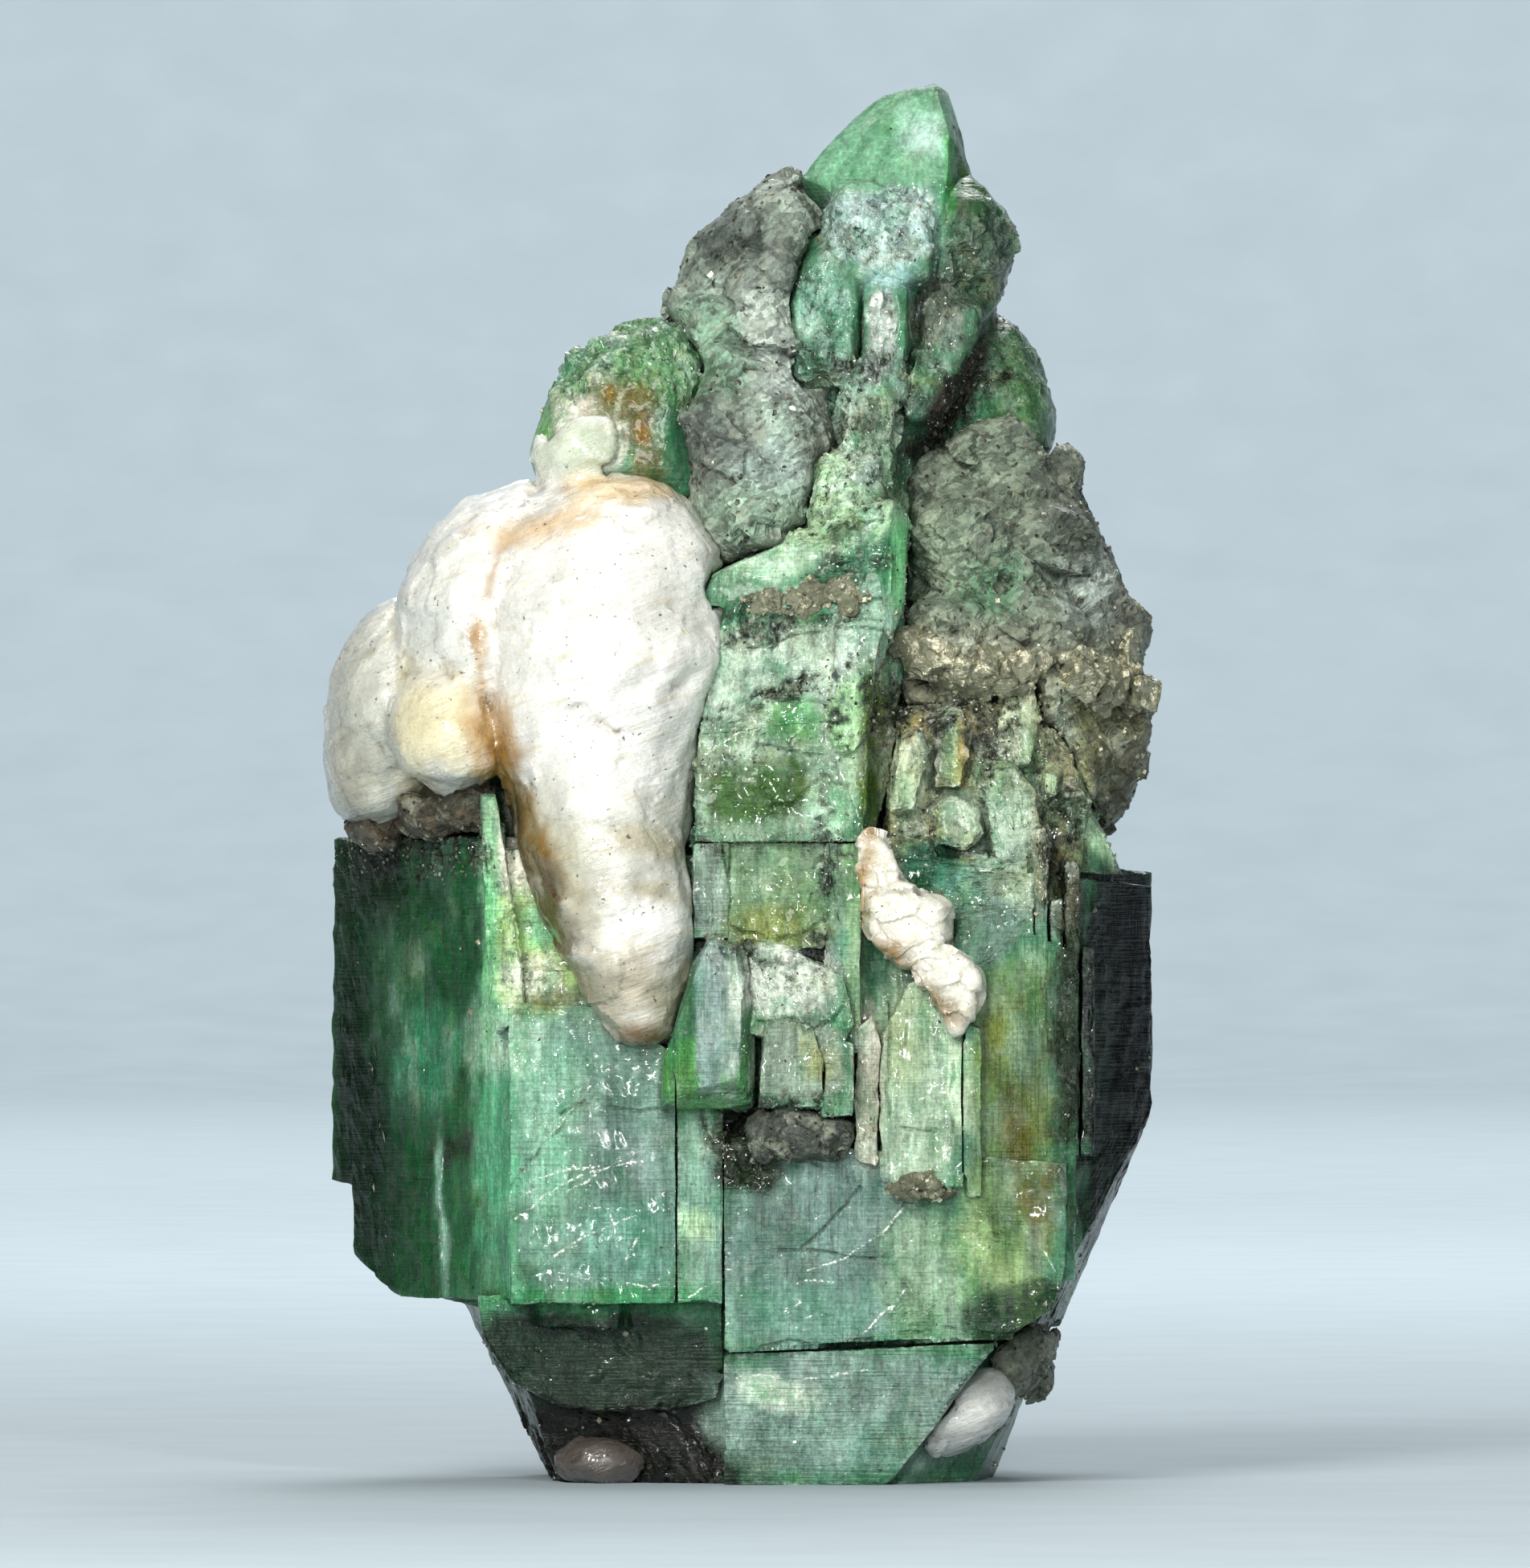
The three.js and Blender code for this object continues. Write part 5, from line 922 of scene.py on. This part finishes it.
# %% Schist material
def schist_material():
    """Biotite schist: dark grey-green flakes, each with its own shade and gloss."""
    material, tree, shader, place = start_material("mica schist, biotite with green mica", {"IOR": 1.58})
    tint = add(tree, "Attribute", attribute_name="tint")
    grime = add(tree, "Attribute", attribute_name="grime").outputs["Fac"]
    # flakes about 0.08 mm across lie flat in the foliation and dip to the left
    dipping = add(tree, "VectorRotate", {"Vector": place, "Angle": 0.6}, rotation_type="Y_AXIS")
    dipping = add(tree, "VectorMath", {0: dipping, 1: (7.0, 7.0, 16.0)}, operation="MULTIPLY")
    bent = add(tree, "TexNoise", {"Vector": dipping, "Scale": 0.5, "Detail": 2.0})
    dipping = add(tree, "VectorMath", {0: dipping, 1: bent.outputs["Color"]}, operation="ADD")
    flakes = add(tree, "TexVoronoi", {"Vector": dipping, "Scale": 1.0}, feature="F1")
    random = add(tree, "SeparateColor", {0: flakes.outputs["Color"]})
    grain = add(tree, "TexNoise", {"Vector": place, "Scale": 20.0, "Detail": 4.0, "Roughness": 0.7})
    patches = add(tree, "TexNoise", {"Vector": place, "Scale": 3.2, "Detail": 4.0, "Roughness": 0.6})
    shade = add(tree, "MapRange", {0: random.outputs[0], 1: 0.0, 2: 1.0, 3: 0.5, 4: 1.5})
    finer = add(tree, "MapRange", {0: grain, 1: 0.3, 2: 0.7, 3: 0.6, 4: 1.4})
    shade = add(tree, "Math", {0: shade, 1: finer}, operation="MULTIPLY")
    colour = add(tree, "VectorMath", {0: tint, "Scale": shade}, operation="SCALE")
    pale = add(tree, "MapRange", {0: patches, 1: 0.55, 2: 0.66, 3: 0.0, 4: 0.55})
    colour = add(tree, "Mix", {0: pale, 6: colour, 7: (*linear("#a8ad98"), 1)}, data_type="RGBA").outputs[2]
    dark = add(tree, "MapRange", {0: patches, 1: 0.45, 2: 0.36, 3: 0.0, 4: 0.5})
    colour = add(tree, "Mix", {0: dark, 6: colour, 7: (*linear("#2c2f26"), 1)}, data_type="RGBA").outputs[2]
    # near black in the hollows: dark dirt and painted shade
    colour = add(tree, "Mix", {0: grime, 6: colour, 7: (*linear("#191b16"), 1)}, data_type="RGBA").outputs[2]
    tree.links.new(colour, shader.inputs["Base Color"])
    gloss = add(tree, "MapRange", {0: random.outputs[1], 1: 0.0, 2: 1.0, 3: 0.2, 4: 0.7})
    tree.links.new(gloss.outputs[0], shader.inputs["Roughness"])
    relief = add(tree, "Math", {0: grain, 1: 1.2, 2: random.outputs[2]}, operation="MULTIPLY_ADD")
    bump = add(tree, "Bump", {"Height": relief, "Strength": 0.9, "Distance": 0.00004})
    tree.links.new(bump.outputs[0], shader.inputs["Normal"])
    return material


SCHIST = schist_material()
print("made", SCHIST.name)

# %% [markdown]
# The schist breaks along its foliation, so its chips are long and flat. They are made as the emerald's are, by
# pushing the points of the finely cut solid in and out, with ripples finer than the chips over them.

# %% Schist pieces
schist_patches = [
    # the cap: a dark brow under the point, a pale grey face, green where beryl shines through
    ("#8a988a", 0.10, 14.80, 1.00, 1.60, 0, 0.40, 1.0),
    ("#4d564e", 0.10, 15.50, 0.90, 0.26, -38, 0.30, 1.0),
    ("#444d41", 0.05, 15.10, 0.50, 0.12, -30, 0.20, 0.9),
    ("#9faa9e", 0.30, 14.60, 0.40, 0.60, 12, 0.25, 1.0),
    ("#b5c1b8", 0.55, 13.80, 0.30, 0.35, 0, 0.25, 0.9),
    ("#9bb1a0", 0.45, 13.25, 0.35, 0.25, 0, 0.25, 0.9),
    ("#82a68b", -0.45, 14.20, 0.35, 0.60, 20, 0.25, 0.9),
    ("#627e64", -0.55, 13.70, 0.40, 0.30, 0, 0.25, 0.9),
    ("#59645c", -0.35, 13.05, 0.60, 0.30, 0, 0.25, 0.9),
    ("#b5cbbf", 0.35, 12.60, 0.40, 0.30, 0, 0.25, 0.8),
    ("#95b299", 0.10, 12.10, 0.80, 0.35, 0, 0.30, 0.8),
    # the flank
    ("#788772", 3.20, 11.80, 1.30, 1.60, 0, 0.60, 0.9),
    ("#547f5e", 3.10, 11.20, 0.40, 0.40, 0, 0.30, 0.8),
    ("#809178", 2.60, 11.60, 0.25, 0.40, 0, 0.25, 0.8),
    ("#434a3f", 4.40, 12.20, 0.60, 0.90, 20, 0.50, 0.9),
    ("#b6c3b8", 4.30, 11.10, 0.35, 0.45, 0, 0.30, 0.7),
    ("#888d77", 3.00, 10.20, 1.20, 0.50, 0, 0.40, 0.9),
    ("#d3d8c0", 2.70, 10.35, 0.55, 0.12, -10, 0.15, 0.8),
    ("#8c886a", 2.60, 9.75, 0.80, 0.30, 0, 0.40, 0.9),
    ("#949c69", 4.40, 9.30, 0.50, 0.80, 0, 0.40, 0.8),
    ("#c1cdb8", 4.05, 9.40, 0.08, 0.45, 10, 0.12, 0.8),
    ("#504b36", 4.70, 9.00, 0.40, 0.90, 0, 0.40, 0.8),
    ("#574d38", -4.10, 8.30, 1.00, 0.60, 0, 0.30, 0.8),
]


def dress_schist(name, node, seed, edge=0.085, base="#686d60", rough=1.0):
    """A flaky schist mass in place of a node."""
    corners, triangles, edges = even_mesh(node, edge)
    corners = eased(corners, edges, 14)
    outward = facing(corners, triangles)
    bent = corners + 0.12 * swirl(corners, 0.4, seed) + np.array([0, 0, 0.55]) * corners[:, :1]
    height = GAP + 0.11 * rough * chips(bent, (0.75, 0.75, 0.4), seed + 3, slope=1.4)
    height += 0.03 * rough * chips(bent + 0.04 * swirl(corners, 0.12, seed + 21), (0.24, 0.24, 0.1), seed + 9)
    height += 0.012 * ripple(corners, 0.22, seed + 15) + 0.008 * ripple(corners, 0.1, seed + 22)
    height *= 0.45 + 0.55 * np.abs(outward[:, 1])
    corners = corners + outward * height[:, None]
    corners[:, 2] = np.maximum(corners[:, 2], 0.0)
    tint = painted(corners, base, schist_patches, seed + 16)
    tint *= (1 + 0.3 * ripple(corners, 0.3, seed + 18))[:, None]
    outward = facing(corners, triangles)
    # darker in the hollows: dirt and painted shade
    hollow = ((eased(corners, edges, 5) - corners) * outward).sum(axis=1)
    grime = fade((hollow - 0.012) / 0.05) * 0.7
    make_piece(name, corners, triangles, SCHIST, "schist", [node], crease=25, tint=np.clip(tint, 0, 1), grime=grime)
    return corners, triangles


schist_surfaces = [
    dress_schist("schist_cap", "mica_schist_cap", 110, base="#7d8378"),
    dress_schist("schist_flank", "mica_schist_flank", 130),
    dress_schist("schist_back", "mica_schist_back", 150, edge=0.12),
    dress_schist("schist_foot", "mica_schist_foot", 170, base="#6d7261", rough=0.7),
    dress_schist("schist_left", "mica_schist_left", 190, base="#3f3d35"),
    dress_schist("schist_stub", "mica_schist_stub", 210, edge=0.06, base="#474d44", rough=0.6),
]

# %% [markdown]
# **Pyrite**, fool's gold, is iron sulphide: a metal to the eye, pale brass, tarnished to brown and bronze where
# rain has been at it. It grows as striated cubes. The crust comes from the CAD solids, and nearly two thousand
# small cubes more are strewn along it.

# %% Pyrite material
def pyrite_material():
    """Tarnished pyrite: pale brass metal with fine ribs, under a film of bronze-brown oxide."""
    material, tree, shader, place = start_material("pyrite, tarnished", {"IOR": 1.5})
    worn = add(tree, "Attribute", attribute_name="tarnish").outputs["Fac"]
    clouds = add(tree, "TexNoise", {"Vector": place, "Scale": 7.0, "Detail": 4.0, "Roughness": 0.7})
    ribbed = add(tree, "VectorMath", {0: place, 1: (4.0, 4.0, 50.0)}, operation="MULTIPLY")
    ribs = add(tree, "TexNoise", {"Vector": ribbed, "Scale": 1.0, "Detail": 1.0})
    amount = add(tree, "MapRange", {0: clouds, 1: 0.42, 2: 0.58, 3: -0.2, 4: 0.8})
    amount = add(tree, "Math", {0: amount, 1: worn}, operation="ADD", use_clamp=True)
    colour = add(tree, "Mix", {0: amount, 6: (*linear("#ddd8bd"), 1), 7: (*linear("#777962"), 1)},
                 data_type="RGBA").outputs[2]
    metal = add(tree, "MapRange", {0: amount, 1: 0.2, 2: 1.0, 3: 1.0, 4: 0.3})
    tree.links.new(metal.outputs[0], shader.inputs["Metallic"])
    black = add(tree, "MapRange", {0: worn, 1: 0.9, 2: 1.5, 3: 0.0, 4: 0.9})
    colour = add(tree, "Mix", {0: black, 6: colour, 7: (*linear("#2b2c26"), 1)}, data_type="RGBA").outputs[2]
    tree.links.new(colour, shader.inputs["Base Color"])
    gloss = add(tree, "MapRange", {0: clouds, 1: 0.35, 2: 0.65, 3: 0.28, 4: 0.62})
    tree.links.new(gloss.outputs[0], shader.inputs["Roughness"])
    crumbs = add(tree, "TexNoise", {"Vector": place, "Scale": 14.0, "Detail": 4.0, "Roughness": 0.75})
    relief = add(tree, "Math", {0: crumbs, 1: 4.0, 2: ribs}, operation="MULTIPLY_ADD")
    bump = add(tree, "Bump", {"Height": relief, "Strength": 0.8, "Distance": 0.00001})
    tree.links.new(bump.outputs[0], shader.inputs["Normal"])
    return material


PYRITE = pyrite_material()
print("made", PYRITE.name)

# %% [markdown]
# Each crust keeps the cubes of its CAD solid. Their faces are only made a little uneven. Out in the open they are
# brown with tarnish, and where the crust was covered they are still pale.

# %% Pyrite crusts
def dress_pyrite(name, node, seed, edge=0.06, tarnish=0.5, depth=1.0):
    """A pyrite crust in place of a node, with slightly uneven cube faces; depth below 1 presses it flatter."""
    corners, triangles, edges = even_mesh(node, edge)
    corners[:, 1] = corners[:, 1].max() + depth * (corners[:, 1] - corners[:, 1].max())
    outward = facing(corners, triangles)
    height = 0.02 + 0.05 * chips(corners, 0.2, seed) + 0.012 * ripple(corners, 0.1, seed + 6)
    corners = corners + outward * height[:, None]
    hollow = ((eased(corners, edges, 5) - corners) * facing(corners, triangles)).sum(axis=1)
    worn = tarnish + 0.35 * ripple(corners, 0.3, seed + 7) + 1.2 * fade((hollow - 0.004) / 0.03)
    make_piece(name, corners, triangles, PYRITE, "pyrite", [node], crease=25, tarnish=worn)
    return corners, triangles


pyrite_surfaces = [
    dress_pyrite("pyrite_crust", "pyrite_flank", 230, tarnish=0.45),
    dress_pyrite("pyrite_crystal", "pyrite_bar", 240, tarnish=0.1),
    dress_pyrite("pyrite_grains", "pyrite_band", 250, tarnish=1.0, depth=0.35),
    dress_pyrite("pyrite_front_grains", "pyrite_front", 260, tarnish=1.0),
    dress_pyrite("pyrite_rear_crust", "pyrite_back", 270, edge=0.09, tarnish=0.5),
]

# %% [markdown]
# Small things by the thousand are one joined mesh: a base shape is copied to random places on a surface and turned
# at random there. The random numbers come from a seed, so the strewing is the same on each run.

# %% Strewing flakes and cubes
def strewn_places(corners, triangles, count, seed, likely=None):
    """Random points on a surface, with their outward directions; likely(points) says where more go."""
    random = np.random.default_rng(seed)
    a, b, c = (corners[triangles[:, i]] for i in range(3))
    flat = np.cross(b - a, c - a)
    area = np.linalg.norm(flat, axis=1)
    chance = area * (1 if likely is None else likely((a + b + c) / 3))
    chosen = random.choice(len(triangles), count, p=chance / chance.sum())
    u, v = random.random((2, count, 1))
    u, v = np.where(u + v > 1, 1 - u, u), np.where(u + v > 1, 1 - v, v)
    points = a[chosen] + u * (b - a)[chosen] + v * (c - a)[chosen]
    return points, flat[chosen] / np.maximum(area[chosen], 1e-12)[:, None]


def turned_copies(shape, faces, points, normals, sizes, seed, loose=0.5):
    """Copies of a small shape, its z axis along the normals give or take `loose`, in one mesh."""
    random = np.random.default_rng(seed)
    up = normals + loose * random.normal(size=normals.shape)
    up /= np.linalg.norm(up, axis=1)[:, None]
    side = np.cross(up, random.normal(size=up.shape))
    side /= np.linalg.norm(side, axis=1)[:, None]
    other = np.cross(up, side)
    basis = np.stack([side, other, up], axis=1) * sizes[:, None, None]
    copies = np.einsum("vk,nkj->nvj", shape, basis) + points[:, None, :]
    index = faces[None] + (np.arange(len(points)) * len(shape))[:, None, None]
    return copies.reshape(-1, 3), index.reshape(-1, 3)


def prism_shape(sides, thick):
    """A flat prism of radius 1 with that many sides, its triangles facing out."""
    angle = 2 * math.pi * np.arange(sides) / sides
    ring = np.stack([np.cos(angle), np.sin(angle)], axis=1)
    shape = np.concatenate([np.column_stack([ring, np.full(sides, s * thick)]) for s in (-0.5, 0.5)])
    inner = range(1, sides - 1)
    caps = [(0, i + 1, i) for i in inner] + [(sides, sides + i, sides + i + 1) for i in inner]
    walls = [face for i in range(sides) for j in [(i + 1) % sides]
             for face in ((i, j, sides + j), (i, sides + j, sides + i))]
    return shape, np.array(caps + walls)


flake = prism_shape(6, 0.14)
print("one mica flake has", len(flake[1]), "triangles")

# %% [markdown]
# Thousands of thin mica plates go on the schist, finer ones on the emerald where the dust table says so, glossy
# splinters of crushed beryl on the pale crystals in front, near white as painted glints, and small pyrite cubes along
# the crust.

# %% Mica flakes and pyrite grains
def flakes_material():
    """Mica plates: near black to silvery, pearly and smooth."""
    material, tree, shader, place = start_material("mica flakes", {"IOR": 1.58, "Roughness": 0.16, "Metallic": 0.35})
    cloud = add(tree, "TexNoise", {"Vector": place, "Scale": 11.0, "Detail": 2.0})
    amount = add(tree, "MapRange", {0: cloud, 1: 0.38, 2: 0.64, 3: 0.0, 4: 1.0})
    colour = add(tree, "Mix", {0: amount, 6: (*linear("#33352c"), 1), 7: (*linear("#8f907e"), 1)},
                 data_type="RGBA").outputs[2]
    tree.links.new(colour, shader.inputs["Base Color"])
    return material


def dust_here(points):
    """How likely a speck is on the emerald: most where the mica dust is, then in loose clusters."""
    wide_noise = fade(ripple(points, 0.6, 48) * 2)
    covered = np.zeros(len(points))
    for x, z, wide, high, turn, strength in mica_dust:
        covered = np.maximum(covered, strength * patch_cover(points, 0, x, z, wide, high, turn, 0.16))
    return front_of(points) * (0.05 + 0.25 * wide_noise + 9 * covered)


def glint_splinter_material():
    """Splinters of beryl, crushed on the edges of its steps: glossy, and nearly white as painted glints."""
    material, tree, shader, place = start_material("beryl splinters with painted glints", {"IOR": 1.58, "Roughness": 0.12,
                                                                       "Coat Weight": 1.0, "Coat Roughness": 0.05})
    cloud = add(tree, "TexNoise", {"Vector": place, "Scale": 7.0, "Detail": 2.0})
    amount = add(tree, "MapRange", {0: cloud, 1: 0.38, 2: 0.64, 3: 0.0, 4: 1.0})
    # the near-white colour is painted glint
    colour = add(tree, "Mix", {0: amount, 6: (*linear("#a9cdb0"), 1), 7: (*linear("#f4f8ee"), 1)},
                 data_type="RGBA").outputs[2]
    tree.links.new(colour, shader.inputs["Base Color"])
    return material


def glint_splinters_here(points):
    """How likely a splinter is: in small clusters on the pale crystals in front, and beside the mica dust."""
    clusters = fade(ripple(points, (0.35, 0.35, 0.2), 57) * 3 - 0.9) * (0.2 + (points[:, 2] > 5.2))
    pale_crystals = (np.abs(points[:, 0] - 0.55) < 3.5) & (points[:, 1] < -1.0)
    return pale_crystals * (clusters + 0.04 * dust_here(points)) + 0.0001


MICA, GLINT_SPLINTERS = flakes_material(), glint_splinter_material()
strewn = [
    # name, material, slot, shape, surfaces, how many on each, sizes in mm, looseness, likely, seed
    ("mica_flakes", MICA, "schist", flake, schist_surfaces, (900, 2200, 900, 250, 350, 260), (0.015, 0.05),
     0.3, None, 300),
    ("emerald_specks", MICA, "schist", flake, [on_emerald], (8500,), (0.009, 0.028), 0.6, dust_here, 400),
    ("emerald_glint_splinters", GLINT_SPLINTERS, "emerald", prism_shape(4, 0.3), [on_emerald], (2600,), (0.007, 0.02), 0.8,
     glint_splinters_here, 500),
    ("pyrite_specks", PYRITE, "pyrite", prism_shape(4, 1.4142), pyrite_surfaces + [schist_surfaces[1], on_emerald],
     (260, 40, 120, 60, 120, 700, 500), (0.012, 0.045), 2.0,
     lambda points: np.exp(-((points[:, 2] - 9.95) / 0.75) ** 2) * fade((points[:, 0] - 1.5) / 0.4) + 0.03, 420),
]
for name, material, slot, (shape, faces), surfaces, counts, (least, most), loose, likely, seed in strewn:
    all_corners, all_triangles = [], []
    for order, ((surface_corners, surface_triangles), count) in enumerate(zip(surfaces, counts)):
        points, normals = strewn_places(surface_corners, surface_triangles, count, seed + order, likely)
        sizes = np.random.default_rng(seed + 20 + order).uniform(least, most, count)
        new_corners, new_triangles = turned_copies(shape, faces, points, normals, sizes, seed + 40 + order, loose)
        all_triangles.append(new_triangles + sum(len(c) for c in all_corners))
        all_corners.append(new_corners)
    corners, triangles = np.concatenate(all_corners), np.concatenate(all_triangles)
    make_piece(name, corners, triangles, material, slot, crease=20, tarnish=0.3 + 0.3 * ripple(corners, 0.3, seed + 9))

# %% [markdown]
# The camera stands level with the middle of the stone and far off with a long lens, as a macro photographer does,
# so that upright edges stay upright. One picture pixel is 0.01 mm, which gives the width of view.

# %% Camera
PICTURE = (1904, 1951)
PIXEL_MM = 0.01
SENSOR = 36.0
CAMERA_AWAY = 320.0
STONE_FRONT = -3.6
VIEW_MIDDLE = Vector((0.27, 0.0, 8.725))

camera_data = bpy.data.cameras.new("camera")
camera_data.lens = SENSOR * CAMERA_AWAY / (PICTURE[1] * PIXEL_MM)
camera_data.sensor_width = SENSOR
camera_data.clip_start = 0.005
camera_data.clip_end = 5.0
camera = bpy.data.objects.new("camera", camera_data)
camera.location = (VIEW_MIDDLE + Vector((0, STONE_FRONT - CAMERA_AWAY, 0))) * MM
camera.rotation_euler = (math.radians(90), 0, 0)
bpy.context.collection.objects.link(camera)
bpy.context.scene.camera = camera
print("lens", round(camera_data.lens), "mm")

# %% [markdown]
# The stone stands on a pale blue-grey sheet that curves up far behind it, as in a product studio. It leaves room for
# the camera to go round the stone, at the same distance.

# %% Studio sheet
def studio_sheet():
    """A pale sheet: level, then a quarter bend, then upright, far wider than the view."""
    half, back, bend, top = 600.0, 400.0, 120.0, 700.0
    profile = [(-600.0, 0.0)] + [(back + bend * math.sin(a), bend - bend * math.cos(a))
                                 for a in np.linspace(0, math.pi / 2, 16)] + [(back + bend, top)]
    points = [(x * MM, y * MM, z * MM) for y, z in profile for x in (-half, half)]
    faces = [(2 * i, 2 * i + 1, 2 * i + 3, 2 * i + 2) for i in range(len(profile) - 1)]
    mesh = bpy.data.meshes.new("studio_sheet")
    mesh.from_pydata(points, [], faces)
    mesh.polygons.foreach_set("use_smooth", np.ones(len(faces), dtype=bool))
    material, tree, shader, place = start_material("paper, pale blue-grey", {"Roughness": 0.9})
    fibres = add(tree, "TexNoise", {"Vector": place, "Scale": 0.4, "Detail": 2.0})
    amount = add(tree, "MapRange", {0: fibres, 1: 0.3, 2: 0.7, 3: 0.0, 4: 1.0})
    colour = add(tree, "Mix", {0: amount, 6: (*linear("#abb9c0"), 1), 7: (*linear("#b0bec5"), 1)},
                 data_type="RGBA").outputs[2]
    tree.links.new(colour, shader.inputs["Base Color"])
    mesh.materials.append(material)
    sheet = bpy.data.objects.new("studio_sheet", mesh)
    bpy.context.collection.objects.link(sheet)


studio_sheet()

# %% [markdown]
# Soft light comes from a large box in front, above and to the left, and from weaker ones in front and above. Three
# small lamps add the hard glints that flakes and cracks throw back. One box lights the rear of the stone, and the
# last lights the sheet far behind it.

# %% Lights
def lamp(name, place, size, power, colour="#ffffff", aim=VIEW_MIDDLE):
    """A square soft box at a place in mm, aimed at the middle of the stone or at another place."""
    data = bpy.data.lights.new(name, "AREA")
    data.size = size * MM
    data.energy = power
    data.color = linear(colour)
    light = bpy.data.objects.new(name, data)
    light.location = Vector(place) * MM
    light.rotation_euler = (Vector(aim) - Vector(place)).to_track_quat("-Z", "Y").to_euler()
    bpy.context.collection.objects.link(light)


lamp("key_box", (-38, -115, 75), 40, 0.138, "#fffdf8")
lamp("fill_box", (30, -130, 10), 40, 0.025, "#f4fbff")
lamp("top_box", (10, 20, 110), 60, 0.04)
lamp("glint_left", (-34, -125, 30), 8, 0.045)
lamp("glint_right", (22, -125, 55), 7, 0.04)
lamp("glint_front", (-9, -150, 20), 5, 0.02)
lamp("rear_box", (20, 140, 110), 50, 0.085)
lamp("sheet_box", (0, 200, 300), 260, 1.75, aim=(0, 520, 40))

world = bpy.data.worlds.new("studio")
world.use_nodes = True
world.node_tree.nodes["Background"].inputs["Color"].default_value = (*linear("#d3e0e6"), 1)
world.node_tree.nodes["Background"].inputs["Strength"].default_value = 0.05
bpy.context.scene.world = world
bpy.context.scene.view_settings.view_transform = "Standard"
